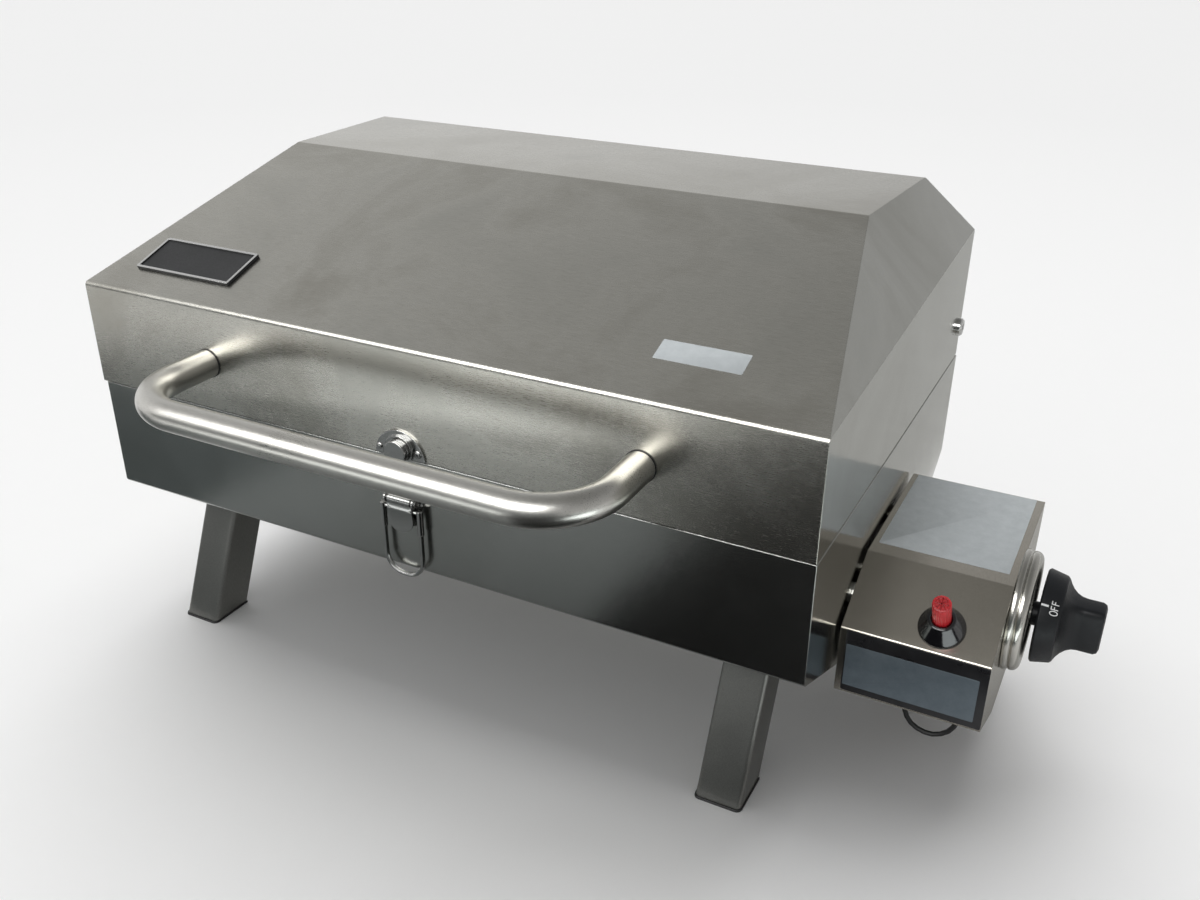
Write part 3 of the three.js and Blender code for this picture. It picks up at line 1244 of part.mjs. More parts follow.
function flameTamer() {
  const seat = RACK_LOW_LEDGE + TOUCH;
  const line = [[TAMER_FRONT, seat]];
  for (let i = 0; i < TAMER_RIDGES; i += 1) {
    const start = TAMER_FRONT + TAMER_PITCH * i;
    const middle = start + TAMER_PITCH / 2;
    line.push([start + TAMER_FLAT, seat], [middle, seat + TAMER_RISE]);
    line.push([start + TAMER_PITCH - TAMER_FLAT, seat]);
  }
  line.push([TAMER_REAR, seat]);
  const top = line.map(([y, z]) => [y, z + SHEET]).reverse();
  const slots = [];
  const room = BASE_LENGTH - 2 * TAMER_END_GAP;
  for (let ridge = 0; ridge < TAMER_RIDGES; ridge += 1) {
    const y = TAMER_FRONT + TAMER_PITCH * (ridge + 1 / 2);
    for (let slot = 0; slot < TAMER_SLOTS; slot += 1) {
      const x = TAMER_END_GAP + (room * (slot + 1 / 2)) / TAMER_SLOTS;
      const [x0, x1] = [x - TAMER_SLOT_LENGTH / 2, x + TAMER_SLOT_LENGTH / 2];
      const half = TAMER_SLOT_WIDTH / 2;
      slots.push(block(x0, x1, y - half, y + half, seat, seat + TAMER_RISE + OVERRUN));
    }
  }
  const sheet = solid(alongX(asPoints([...line, ...top]), TAMER_END_GAP, BASE_LENGTH - TAMER_END_GAP));
  return cut(sheet, ...slots);
}

function cookingGrate() {
  const low = RACK_HIGH_LEDGE + TOUCH;
  const [left, right] = [GRATE_END_GAP, BASE_LENGTH - GRATE_END_GAP];
  const corners = rounded([
    [left, GRATE_FRONT], [right, GRATE_FRONT], [right, GRATE_REAR], [left, GRATE_REAR],
  ], GRATE_CORNER);
  const pitchX = (right - left - GRATE_BAR) / GRATE_COLUMNS;
  const pitchY = (GRATE_REAR - GRATE_FRONT - GRATE_BAR) / GRATE_ROWS;
  const gaps = [];
  for (let row = 0; row < GRATE_ROWS; row += 1) {
    const y = GRATE_FRONT + GRATE_BAR + pitchY * row;
    for (let column = 0; column < GRATE_COLUMNS; column += 1) {
      const x = left + GRATE_BAR + pitchX * column;
      const [x1, y1] = [x + pitchX - GRATE_BAR, y + pitchY - GRATE_BAR];
      gaps.push(block(x, x1, y, y1, low - OVERRUN, low + GRATE_BAR + OVERRUN));
    }
  }
  return cut(solid(alongZ(corners, low, low + GRATE_BAR)), ...gaps);
}

addMesh('rack_left', rack(), STEEL);
addMesh('rack_right', mirroredX(rack(), BASE_MIDDLE), STEEL);
addMesh('flame_tamer', geometryOf(flameTamer()), ENAMEL);
addMesh('cooking_grate', geometryOf(cookingGrate()), STEEL);

// Drip tray on two rails under the belly

const TRAY_RIM = -BELLY_DROP - TRAY_TOP;

function dripTray() {
  const floor = TRAY_RIM - TRAY_DEPTH;
  const outer = block(TRAY_LEFT, TRAY_RIGHT, TRAY_FRONT, TRAY_REAR, floor, TRAY_RIM);
  const [left, right] = [TRAY_LEFT - TRAY_LIP, TRAY_RIGHT + TRAY_LIP];
  const lip = block(left, right, TRAY_FRONT, TRAY_REAR, TRAY_RIM - SHEET, TRAY_RIM);
  const middle = (TRAY_LEFT + TRAY_RIGHT) / 2;
  const pull = block(
    middle - 4 * TRAY_PULL, middle + 4 * TRAY_PULL, TRAY_FRONT - TRAY_PULL, TRAY_FRONT + SHEET / 2,
    TRAY_RIM - SHEET, TRAY_RIM,
  );
  const hollow = block(
    TRAY_LEFT + SHEET, TRAY_RIGHT - SHEET, TRAY_FRONT + SHEET, TRAY_REAR - SHEET,
    floor + SHEET, TRAY_RIM + OVERRUN,
  );
  return cut(joined(outer, lip, pull), hollow);
}

function trayRail() {
  const webIn = TRAY_LEFT - TRAY_LIP - SHEET / 2;
  const webOut = webIn - RAIL_SHEET;
  const ledge = TRAY_RIM - SHEET - TOUCH;
  const ledgeIn = webIn + RAIL_FLANGE - RAIL_SHEET;
  const outline = asPoints([
    [webIn - RAIL_FLANGE, -BELLY_DROP], [webIn, -BELLY_DROP], [webIn, ledge], [ledgeIn, ledge],
    [ledgeIn, ledge - RAIL_SHEET], [webOut, ledge - RAIL_SHEET], [webOut, -BELLY_DROP - RAIL_SHEET],
    [webIn - RAIL_FLANGE, -BELLY_DROP - RAIL_SHEET],
  ]);
  return alongY(outline, RAIL_FRONT, RAIL_REAR);
}

addMesh('drip_tray', geometryOf(dripTray()), STEEL);
addMesh('tray_rail_left', trayRail(), STEEL);
addMesh('tray_rail_right', mirroredX(trayRail(), (TRAY_LEFT + TRAY_RIGHT) / 2), STEEL);

// Folding legs. Each one is built upright under its panel, with the panel as its ground plane.

function legSection(margin, openEnd) {
  const half = LEG_WIDTH / 2 - margin;
  return rounded([
    [-half, -half], [half, -half], [half, openEnd, 0], [-half, openEnd, 0],
  ], Math.max(LEG_BEND - margin, SHEET / 2));
}

// The part of a long bar that lies above a plane parallel to the floor.
function aboveFloor(body, drop, tilt) {
  const down = new THREE.Vector3(0, Math.sin(tilt), -Math.cos(tilt));
  return body.subtract(solid(halfSpace(new THREE.Vector3(0, 0, -drop), down, LEG_LONG * 2)));
}

function legChannel(floorDrop, tilt) {
  const half = LEG_WIDTH / 2;
  const bar = solid(alongZ(legSection(0, half), -LEG_LONG, -LEG_TOP_GAP));
  const hollow = alongZ(legSection(SHEET, half + OVERRUN), -LEG_LONG - OVERRUN, OVERRUN);
  const side = rounded([
    [-half, -LEG_LONG, 0], [half, -LEG_LONG, 0],
    [half, -LEG_TOP_GAP, half], [-half, -LEG_TOP_GAP, 0],
  ], 0);
  const outline = solid(alongX(side, -half, half));
  const drop = floorDrop - (CAP_FLANGE + SEAT_GAP) / Math.cos(tilt);
  return aboveFloor(cut(bar, hollow).intersect(outline), drop, tilt);
}

function footCap(floorDrop, tilt) {
  const half = LEG_WIDTH / 2;
  const flangeDrop = floorDrop - CAP_FLANGE / Math.cos(tilt);
  const wide = solid(alongZ(legSection(-CAP_LIP, half + CAP_LIP), -LEG_LONG, 0));
  const flange = aboveFloor(wide, floorDrop, tilt).subtract(aboveFloor(wide, flangeDrop, tilt));
  const filler = solid(alongZ(legSection(SHEET + CAP_WALL_GAP, half), -LEG_LONG, 0));
  const inside = aboveFloor(filler, floorDrop - CAP_FLANGE / 2, tilt);
  return flange.add(inside.subtract(aboveFloor(filler, flangeDrop - CAP_PLUG, tilt)));
}

function legBracket() {
  const outer = LEG_WIDTH / 2 - SHEET - BRACKET_SIDE_GAP;
  const back = -TOUCH - BRACKET_SHEET;
  const plate = block(-outer, outer, -BRACKET_HALF, BRACKET_HALF, back, -TOUCH);
  const low = -LEG_PIN_DROP - BRACKET_EAR_RADIUS;
  const earSide = rounded([
    [-BRACKET_EAR_RADIUS, low, BRACKET_EAR_RADIUS], [BRACKET_EAR_RADIUS, low, BRACKET_EAR_RADIUS],
    [BRACKET_HALF, -TOUCH - BRACKET_SHEET / 2, 0], [-BRACKET_HALF, -TOUCH - BRACKET_SHEET / 2, 0],
  ], 0);
  const ears = bothSides(outer - BRACKET_SHEET, outer, (x0, x1) => alongX(earSide, x0, x1));
  const hole = LEG_PIN_RADIUS + PIN_CLEARANCE;
  const pinHole = rod(hole, [-LEG_WIDTH, 0, -LEG_PIN_DROP], [LEG_WIDTH, 0, -LEG_PIN_DROP], 20);
  return cut(joined(plate, ...ears), pinHole);
}

function legPin() {
  const reach = LEG_WIDTH / 2 - SHEET - BRACKET_SIDE_GAP / 4;
  return rod(LEG_PIN_RADIUS, [-reach, 0, -LEG_PIN_DROP], [reach, 0, -LEG_PIN_DROP], 20);
}

function addLeg(place, x, rootY, rootZ, tilt, turn) {
  const carrier = new THREE.Group();
  carrier.position.set(x, rootY, rootZ);
  carrier.rotation.z = turn;
  grill.add(carrier);
  const stand = new THREE.Group();
  stand.rotation.x = -tilt;
  carrier.add(stand);
  const floorDrop = (rootZ - FLOOR_Z) / Math.cos(tilt);
  addMesh(`leg_${place}`, geometryOf(legChannel(floorDrop, tilt)), STEEL, stand);
  addMesh(`leg_bracket_${place}`, geometryOf(legBracket()), STEEL, stand);
  addMesh(`leg_pin_${place}`, legPin(), STEEL, stand);
  addMesh(`foot_cap_${place}`, geometryOf(footCap(floorDrop, tilt)), RUBBER, stand);
}

const frontRootY = LEG_FRONT_ROOT * Math.cos(FRONT_SLOPE);
const frontRootZ = -LEG_FRONT_ROOT * Math.sin(FRONT_SLOPE);
const rearRootY = BASE_DEPTH - LEG_REAR_ROOT * Math.cos(REAR_SLOPE);
const rearRootZ = -LEG_REAR_ROOT * Math.sin(REAR_SLOPE);
addLeg('front_left', LEG_LEFT_X, frontRootY, frontRootZ, FRONT_SLOPE, 0);
addLeg('front_right', LEG_RIGHT_X, frontRootY, frontRootZ, FRONT_SLOPE, 0);
addLeg('rear_left', LEG_LEFT_X, rearRootY, rearRootZ, REAR_SLOPE, Math.PI);
addLeg('rear_right', LEG_RIGHT_X, rearRootY, rearRootZ, REAR_SLOPE, Math.PI);

// The origin is under the middle of the whole object, at floor height.
const assembly = new THREE.Group();
assembly.add(grill);
assembly.updateMatrixWorld(true);
const extent = new THREE.Box3().setFromObject(grill, true);
grill.position.set(-(extent.min.x + extent.max.x) / 2, -(extent.min.y + extent.max.y) / 2, -extent.min.z);

export default assembly;
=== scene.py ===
"""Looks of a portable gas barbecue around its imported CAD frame.

Metres in the row frame: +X towards the knob, +Y towards the hinge, +Z up.
"""
import json
import math
import bpy
import bmesh
from mathutils import Matrix, Vector

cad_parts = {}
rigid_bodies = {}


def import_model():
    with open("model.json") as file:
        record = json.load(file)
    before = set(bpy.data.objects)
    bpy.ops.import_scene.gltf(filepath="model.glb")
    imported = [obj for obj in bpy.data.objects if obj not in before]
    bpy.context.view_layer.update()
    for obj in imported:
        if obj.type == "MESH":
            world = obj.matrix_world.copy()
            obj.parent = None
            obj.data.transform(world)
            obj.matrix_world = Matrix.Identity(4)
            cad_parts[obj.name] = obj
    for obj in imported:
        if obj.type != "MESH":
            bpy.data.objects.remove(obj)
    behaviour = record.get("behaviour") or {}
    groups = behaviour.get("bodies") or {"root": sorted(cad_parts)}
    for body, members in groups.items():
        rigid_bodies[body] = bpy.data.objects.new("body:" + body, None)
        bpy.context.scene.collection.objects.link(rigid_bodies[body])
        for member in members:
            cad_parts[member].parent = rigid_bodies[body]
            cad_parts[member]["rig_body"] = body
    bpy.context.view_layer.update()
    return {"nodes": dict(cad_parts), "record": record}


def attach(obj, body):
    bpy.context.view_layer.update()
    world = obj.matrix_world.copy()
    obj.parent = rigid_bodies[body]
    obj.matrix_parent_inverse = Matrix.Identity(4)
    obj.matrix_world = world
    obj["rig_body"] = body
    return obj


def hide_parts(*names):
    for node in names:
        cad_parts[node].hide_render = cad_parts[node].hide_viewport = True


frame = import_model()

# Places and sizes in millimetres, from the base's lower front left corner as in the CAD source
MM = 0.001
CORNER = Vector((-273.375, -112.04886, 91.8))
LEG_PLACES = ("front_left", "front_right", "rear_left", "rear_right")

LID_SLOPE = math.radians(19.67)
LID_FRONT_TOP = 126.8
HANDLE_LEFT = 85
HANDLE_RIGHT = 348.5
HANDLE_FRONT = -61
HANDLE_HEIGHT = 94
HANDLE_BEND = 35.5
HANDLE_RADIUS = 8
HANDLE_BEND_STEPS = 20
PLATE_LEFT = 20.7
PLATE_RIGHT = 89.1
PLATE_LOW = 19.25
PLATE_HIGH = 47.8
CATCH_RIVET_X = 200.3
CATCH_SCREW_X = 224.2
CATCH_Z = 71
LATCH_SCREW_X = 223.6
LATCH_SCREW_Z = 45.5
FLANGE_FRONT = -1.2
HINGE_LEFT = -2.75
HINGE_RIGHT = 434.75
HINGE_Y = 273
HINGE_Z = 88
HINGE_HEAD = 3.01

BOX_FRONT = 51.8
BOX_FRONT_TOP = 2.2
BOX_TOP_FRONT = 90.6
BOX_TOP = 25.8
BOX_RIGHT = 509.5
BOX_SLOPE = math.atan2(BOX_TOP - BOX_FRONT_TOP, BOX_TOP_FRONT - BOX_FRONT)
IGNITER_X = 482.5
IGNITER_UP_SLOPE = 14.2
KNOB_BACK = BOX_RIGHT + 12.4
KNOB_Y = 112
KNOB_Z = 0.8
KNOB_SKIRT_RADIUS = 24.4
KNOB_SKIRT_STRAIGHT = 1
KNOB_SKIRT_TAPER = 1.9 / 9.6
PRINT_RADIUS = 23.5
PRINT_PROUD = 0.05
PRINT_SUNK = 0.1
POINTER_WIDE = 1.0
LETTER_WIDE = 0.45

# Stickers, label panels and the painted shade of the recesses in screw heads
STICKER_LIFT = 0.02
STICKER_THICK = 0.12
STICKER_CORNER = 0.6
LABEL_THICK = 0.14
LABEL_CORNER = 1.0
PANEL_THICK = 0.08
PANEL_OUT = 0.15
CROSS_HALF_WIDTH = 0.3
CROSS_THICK = 0.05
CROSS_CORNER = 0.2

# Angles in degrees from which an edge stays sharp: folded sheet, other CAD nodes, pieces made here
FOLD_ANGLE = 24
CAD_ANGLE = 35
PIECE_ANGLE = 40

# Directions
ALONG_X = Vector((1, 0, 0))
ALONG_Y = Vector((0, 1, 0))
ALONG_Z = Vector((0, 0, 1))
FORWARD = Vector((0, -1, 0))
UP_LID_SLOPE = Vector((0, math.cos(LID_SLOPE), math.sin(LID_SLOPE)))
UP_BOX_SLOPE = Vector((0, math.cos(BOX_SLOPE), math.sin(BOX_SLOPE)))
OUT_OF_BOX_SLOPE = Vector((0, -math.sin(BOX_SLOPE), math.cos(BOX_SLOPE)))

# Camera
CAMERA_PLACE = Vector((0.27420, -0.53823, 0.42742))
CAMERA_RIGHT = Vector((0.88737, 0.46102, 0.00632))
CAMERA_UP = Vector((-0.21007, 0.39208, 0.89563))
CAMERA_LENS = 34.69
CAMERA_SENSOR = 36

# Studio, in metres
FLOOR_HALF = 40
CARD_HEIGHT = 0.003
LOW_LAMP_HEIGHT = 0.02
LOW_LAMP_COLOUR = (0.93, 1.0, 1.0)
DAYLIGHT_WAY = Vector((0.35, -0.55, -1.0))
DAYLIGHT_ENERGY = 2.3
DAYLIGHT_ANGLE = math.radians(70)


def at(x, y, z):
    """A point in metres, from millimetres in the CAD source's own places."""
    return (Vector((x, y, z)) + CORNER) * MM


def placed(name, data):
    """A new object, put in the scene."""
    item = bpy.data.objects.new(name, data)
    bpy.context.scene.collection.objects.link(item)
    return item


def place_camera():
    data = bpy.data.cameras.new("camera")
    data.lens = CAMERA_LENS
    data.sensor_width = CAMERA_SENSOR
    camera = placed("camera", data)
    right = CAMERA_RIGHT.normalized()
    back = right.cross(CAMERA_UP).normalized()
    up = back.cross(right)
    turn = Matrix((right, up, back)).transposed().to_4x4()
    camera.matrix_world = Matrix.Translation(CAMERA_PLACE) @ turn
    bpy.context.scene.camera = camera


place_camera()
bpy.context.scene.view_settings.view_transform = "Standard"


# Materials
class NodeTree:
    """A node tree that is filled in step by step."""

    # Sockets of the Mix node that hold colours
    MIX_FACTOR = 0
    MIX_FIRST = 6
    MIX_SECOND = 7
    MIX_RESULT = 2

    def __init__(self, tree):
        self.tree = tree
        self.tree.nodes.clear()

    def add(self, kind, **inputs):
        node = self.tree.nodes.new(kind)
        for key, value in inputs.items():
            self.put(node, key.replace("_", " "), value)
        return node

    def put(self, node, key, value):
        """Link a socket to an input, given by name or number, or set the input to a value."""
        socket = node.inputs[key]
        if isinstance(value, bpy.types.NodeSocket):
            self.tree.links.new(value, socket)
        else:
            socket.default_value = value

    def ramp(self, source, stops):
        """A colour ramp with stops of (place, colour), from first to last."""
        node = self.add("ShaderNodeValToRGB", Fac=source)
        points = node.color_ramp.elements
        for index in (0, -1):
            place, colour = stops[index]
            points[index].position = place
            points[index].color = (*colour, 1)
        for place, colour in stops[1:-1]:
            points.new(place).color = (*colour, 1)
        return node.outputs["Color"]

    def spread(self, source, low, high, start=0.0, end=1.0):
        """Values from `start` to `end` mapped to `low` to `high`."""
        node = self.add("ShaderNodeMapRange", Value=source, From_Min=start, From_Max=end, To_Min=low,
                        To_Max=high)
        return node.outputs["Result"]

    def mixed(self, factor, first, second, mode="MIX"):
        """Two colours mixed; each argument is a value or a socket."""
        node = self.add("ShaderNodeMix")
        node.data_type = "RGBA"
        node.blend_type = mode
        self.put(node, self.MIX_FACTOR, factor)
        for index, colour in ((self.MIX_FIRST, first), (self.MIX_SECOND, second)):
            if isinstance(colour, tuple):
                colour = (*colour, 1)
            self.put(node, index, colour)
        return node.outputs[self.MIX_RESULT]

    def summed(self, first, second):
        node = self.add("ShaderNodeMath")
        node.operation = "ADD"
        self.put(node, 0, first)
        self.put(node, 1, second)
        return node.outputs["Value"]


class Finish(NodeTree):
    """A material with one Principled shader."""

    def __init__(self, name):
        self.material = bpy.data.materials.new(name)
        self.material.use_nodes = True
        super().__init__(self.material.node_tree)
        self.shader = self.add("ShaderNodeBsdfPrincipled")
        self.add("ShaderNodeOutputMaterial", Surface=self.shader.outputs["BSDF"])
        self.coordinates = self.add("ShaderNodeTexCoord").outputs["Object"]

    def stretched(self, scale):
        """The object's own coordinates, scaled along each axis."""
        return self.add("ShaderNodeMapping", Vector=self.coordinates, Scale=scale).outputs["Vector"]

    def noise(self, scale, stretch=(1, 1, 1), detail=4.0, roughness=0.55, distortion=0.0):
        node = self.add("ShaderNodeTexNoise", Vector=self.stretched(stretch), Scale=scale, Detail=detail,
                        Roughness=roughness, Distortion=distortion)
        return node.outputs["Fac"]

    def bumps(self, *layers, edge=0.0):
        """Bump layers of (height, distance, strength) over edges softened by `edge` metres."""
        normal = None
        if edge:
            normal = self.add("ShaderNodeBevel", Radius=edge).outputs["Normal"]
        for height, distance, strength in layers:
            node = self.add("ShaderNodeBump", Height=height, Distance=distance, Strength=strength)
            if normal is not None:
                self.put(node, "Normal", normal)
            normal = node.outputs["Normal"]
        self.put(self.shader, "Normal", normal)

    def surface(self, **inputs):
        for key, value in inputs.items():
            self.put(self.shader, key.replace("_", " "), value)


def brushed_steel(name, low, high, rough, along=(4, 90, 90), smudge=0.35, brush=0.35, waves=0.1):
    """Sheet metal: streaks along the brush, cloudy smudges in its tone and polish, a fine speckle."""
    f = Finish(name)
    streaks = f.noise(3400.0 / 90, along, detail=5.0, roughness=0.7)
    clouds = f.noise(9.0, detail=5.0, roughness=0.6, distortion=0.6)
    speckle = f.noise(420.0, detail=3.0)
    tone = f.ramp(streaks, [(0.3, low), (0.72, high)])
    cloudy = f.ramp(clouds, [(0.3, (0.74, 0.73, 0.7)), (0.52, (1.0, 1.0, 1.0)), (0.72, (0.86, 0.87, 0.87))])
    base = f.mixed(smudge, tone, cloudy, "MULTIPLY")
    streaky_polish = f.spread(streaks, rough - 0.07, rough + 0.07)
    cloudy_polish = f.spread(clouds, -0.03, 0.04, 0.3, 0.75)
    f.surface(Base_Color=base, Metallic=1.0, Roughness=f.summed(streaky_polish, cloudy_polish))
    f.bumps((streaks, 0.00006, brush), (speckle, 0.00003, 0.2), (clouds, 0.0016, waves), edge=0.7 * MM)
    return f.material


def moulded(name, low, high, rough, coat=0.0, shine=0.5):
    """Plastic, enamel or ceramic: a fine grain over broad mottling."""
    f = Finish(name)
    fine = f.noise(900.0, detail=3.0)
    broad = f.noise(40.0, detail=4.0)
    f.surface(Base_Color=f.mixed(f.spread(broad, 0.0, 1.0, 0.35, 0.7), low, high),
              Roughness=f.spread(fine, rough - 0.06, rough + 0.08, 0.3, 0.7),
              Coat_Weight=coat, Specular_IOR_Level=shine)
    f.bumps((fine, 0.00008, 0.25), (broad, 0.0003, 0.05), edge=0.5 * MM)
    return f.material


def printed(name, low, high, rough):
    """Blank sticker stock or print: faintly mottled, a little creased."""
    f = Finish(name)
    mottled = f.noise(160.0, detail=5.0, roughness=0.7)
    creases = f.noise(35.0, detail=2.0, distortion=1.0)
    f.surface(Base_Color=f.mixed(f.spread(mottled, 0.0, 1.0, 0.3, 0.7), low, high),
              Roughness=f.spread(creases, rough - 0.08, rough + 0.1, 0.3, 0.7), Metallic=0.15)
    f.bumps((mottled, 0.00004, 0.2), (creases, 0.0004, 0.08))
    return f.material


def matt(name, low, high):
    """Card that shows no highlight."""
    f = Finish(name)
    weave = f.noise(60.0, detail=4.0)
    f.surface(Base_Color=f.mixed(f.spread(weave, 0.0, 1.0, 0.3, 0.7), low, high), Roughness=0.95,
              Specular_IOR_Level=0.0)
    return f.material


def floor_paper(name, low, high):
    """White paper with a painted pool of light: a little lighter round the grill."""
    f = Finish(name)
    grain = f.noise(70.0, detail=3.0)
    distance = f.add("ShaderNodeTexGradient", Vector=f.stretched((0.5, 0.5, 0.5)))
    distance.gradient_type = "SPHERICAL"
    speckled = f.spread(grain, 0.0, 0.06, 0.3, 0.7)
    far = f.mixed(speckled, grey(low), grey(low - 0.04))
    # Painted light: the paper near the grill is lighter than the far paper.
    near = f.mixed(speckled, grey(high), grey(high - 0.04))
    f.surface(Base_Color=f.mixed(distance.outputs["Fac"], far, near), Roughness=0.85)
    f.bumps((grain, 0.0004, 0.05))
    return f.material


def grey(level):
    return (level, level, level)


STEELS = {
    "lid_steel": dict(low=(0.45, 0.44, 0.40), high=(0.55, 0.54, 0.50), rough=0.27, smudge=0.9, brush=0.5),
    # The base's steel is painted a little darker than the lid's: painted shade, for the shaded floor in front
    # of the grill that the base mirrors.
    "base_steel_painted_shade": dict(low=(0.38, 0.385, 0.37), high=(0.48, 0.485, 0.465), rough=0.22, smudge=0.5, brush=0.4),
    "mirror_steel": dict(low=(0.42, 0.42, 0.39), high=(0.49, 0.49, 0.46), rough=0.12, smudge=0.8, brush=0.2,
                         waves=0.2),
    "steel": dict(low=(0.42, 0.42, 0.39), high=(0.55, 0.55, 0.52), rough=0.32),
    "satin_steel": dict(low=(0.50, 0.49, 0.46), high=(0.62, 0.61, 0.575), rough=0.3, along=(6, 60, 60)),
    "box_steel": dict(low=(0.40, 0.375, 0.325), high=(0.51, 0.48, 0.425), rough=0.22, along=(90, 8, 90)),
    # The legs' steel is painted dark: painted shade, for the shaded floor under the grill that the legs
    # mirror.
    "leg_steel_painted_shade": dict(low=(0.17, 0.17, 0.16), high=(0.25, 0.25, 0.235), rough=0.32, along=(90, 90, 10)),
    "polished_steel": dict(low=(0.66, 0.66, 0.65), high=(0.74, 0.74, 0.73), rough=0.14, smudge=0.2),
    "dark_chrome": dict(low=(0.36, 0.36, 0.35), high=(0.44, 0.44, 0.43), rough=0.13, smudge=0.3),
    "ring_steel": dict(low=(0.46, 0.45, 0.42), high=(0.55, 0.54, 0.50), rough=0.2, along=(90, 1, 90)),
    "brass": dict(low=(0.55, 0.40, 0.17), high=(0.68, 0.52, 0.25), rough=0.3, along=(30, 1, 1)),
}
MOULDED = {
    "enamel": dict(low=(0.018, 0.018, 0.02), high=(0.035, 0.035, 0.037), rough=0.3),
    "plate": dict(low=(0.010, 0.011, 0.012), high=(0.018, 0.019, 0.021), rough=0.5),
    "black_plastic": dict(low=(0.006, 0.007, 0.009), high=(0.011, 0.0125, 0.015), rough=0.42, shine=0.3),
    "gloss_plastic": dict(low=(0.006, 0.006, 0.008), high=(0.012, 0.012, 0.014), rough=0.14, coat=0.6),
    "red_plastic": dict(low=(0.52, 0.008, 0.014), high=(0.68, 0.02, 0.03), rough=0.34, coat=0.2),
    "ceramic": dict(low=(0.78, 0.76, 0.70), high=(0.86, 0.85, 0.80), rough=0.2, coat=0.4),
    "rubber": dict(low=(0.012, 0.012, 0.012), high=(0.022, 0.022, 0.022), rough=0.55),
}
PRINTED = {
    "foil": dict(low=(0.46, 0.495, 0.51), high=(0.54, 0.575, 0.59), rough=0.5),
    "label_grey": dict(low=(0.10, 0.13, 0.155), high=(0.13, 0.165, 0.19), rough=0.36),
    # Black print, also used for painted shade: the screws' recess crosses and the rings round the handle's
    # ends.
    "black_print_and_painted_shade": dict(low=(0.012, 0.012, 0.014), high=(0.02, 0.02, 0.023), rough=0.3),
    "white_print": dict(low=(0.72, 0.73, 0.73), high=(0.82, 0.83, 0.83), rough=0.5),
}
# Cards that only mirrors see, in the tones of painted dark reflections
MATT = {
    "card_black": dict(low=(0.012, 0.012, 0.012), high=(0.02, 0.02, 0.02)),
    "card_dark": dict(low=(0.092, 0.105, 0.107), high=(0.122, 0.137, 0.139)),
    "card_middle": dict(low=(0.25, 0.265, 0.267), high=(0.295, 0.31, 0.312)),
    "card_grey": dict(low=(0.46, 0.46, 0.45), high=(0.52, 0.52, 0.51)),
}
FINISHES = {}
for make, looks in ((brushed_steel, STEELS), (moulded, MOULDED), (printed, PRINTED), (matt, MATT)):
    for finish, look in looks.items():
        FINISHES[finish] = make(finish, **look)

# CAD nodes, each with its body, its material slot and, where it isn't the slot's own, its finish
NODES = frame["nodes"]
BODY_OF = {name: node["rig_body"] for name, node in NODES.items()}
SLOT_OF = {part["node"]: part["material_slot"] for part in frame["record"]["subparts"]}
FINISH_OF = {"lid_shell": "lid_steel", "base_shell": "base_steel_painted_shade", "lid_handle": "satin_steel",
             "control_box": "box_steel", "igniter_bezel": "gloss_plastic", "lid_catch": "dark_chrome",
             "latch_base": "dark_chrome", "latch_lever": "dark_chrome", "latch_bail": "dark_chrome"}
for place in LEG_PLACES:
    FINISH_OF["leg_" + place] = "leg_steel_painted_shade"


def finish_for(node):
    return FINISHES[FINISH_OF.get(node, SLOT_OF[node])]


for name, node in NODES.items():
    node.data.materials.clear()
    node.data.materials.append(finish_for(name))


# Pieces
def new_piece(mesh, material, body):
    """A piece that has its mesh's name."""
    for polygon in mesh.polygons:
        polygon.use_smooth = True
    mesh.materials.append(material)
    piece = placed(mesh.name, mesh)
    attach(piece, body)
    return piece


def mark_sharp(work, angle):
    """Keep the shading split at open edges and where faces meet at `angle` degrees or more."""
    for line in work.edges:
        line.smooth = len(line.link_faces) == 2 and line.calc_face_angle(0) < math.radians(angle)


def smoothed(node, angle=CAD_ANGLE, ends=None):
    """A cleaned copy of a CAD node, shaded smooth but for its sharp edges.

    Faces towards +X or -X can have a finish of their own, `ends`.
    """
    same_place = 0.01 * MM
    flat = math.radians(0.5)
    facing_x = 0.6
    work = bmesh.new()
    work.from_mesh(NODES[node].data)
    bmesh.ops.remove_doubles(work, verts=work.verts, dist=same_place)
    bmesh.ops.dissolve_limit(work, angle_limit=flat, verts=work.verts, edges=work.edges)
    mark_sharp(work, angle)
    mesh = bpy.data.meshes.new(node + "_look")
    work.to_mesh(mesh)
    work.free()
    piece = new_piece(mesh, finish_for(node), BODY_OF[node])
    if ends:
        mesh.materials.append(FINISHES[ends])
        for polygon in mesh.polygons:
            polygon.material_index = 1 if abs(polygon.normal.x) > facing_x else 0
    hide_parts(node)


def added(mesh, finish, body, replaced=None):
    """A piece from a new mesh, which can stand for a CAD node."""
    piece = new_piece(mesh, FINISHES[finish], body)
    work = bmesh.new()
    work.from_mesh(mesh)
    mark_sharp(work, PIECE_ANGLE)
    work.to_mesh(mesh)
    work.free()
    if replaced:
        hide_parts(replaced)


def mesh_of(name, points, faces):
    mesh = bpy.data.meshes.new(name)
    mesh.from_pydata([tuple(p) for p in points], [], faces)
    mesh.update()
    return mesh


def walls(rows, count, closed=False):
    """Four-sided faces between rows of `count` points each; closed joins the last row to the first."""
    faces = []
    for i in range(rows if closed else rows - 1):
        below = i * count
        above = (i + 1) % rows * count
        for k in range(count):
            after = (k + 1) % count
            faces.append((below + k, below + after, above + after, above + k))
    return faces


def caps(rows, count):
    """The two end faces of a solid made of rows of `count` points."""
    return [tuple(reversed(range(count))), tuple(range((rows - 1) * count, rows * count))]


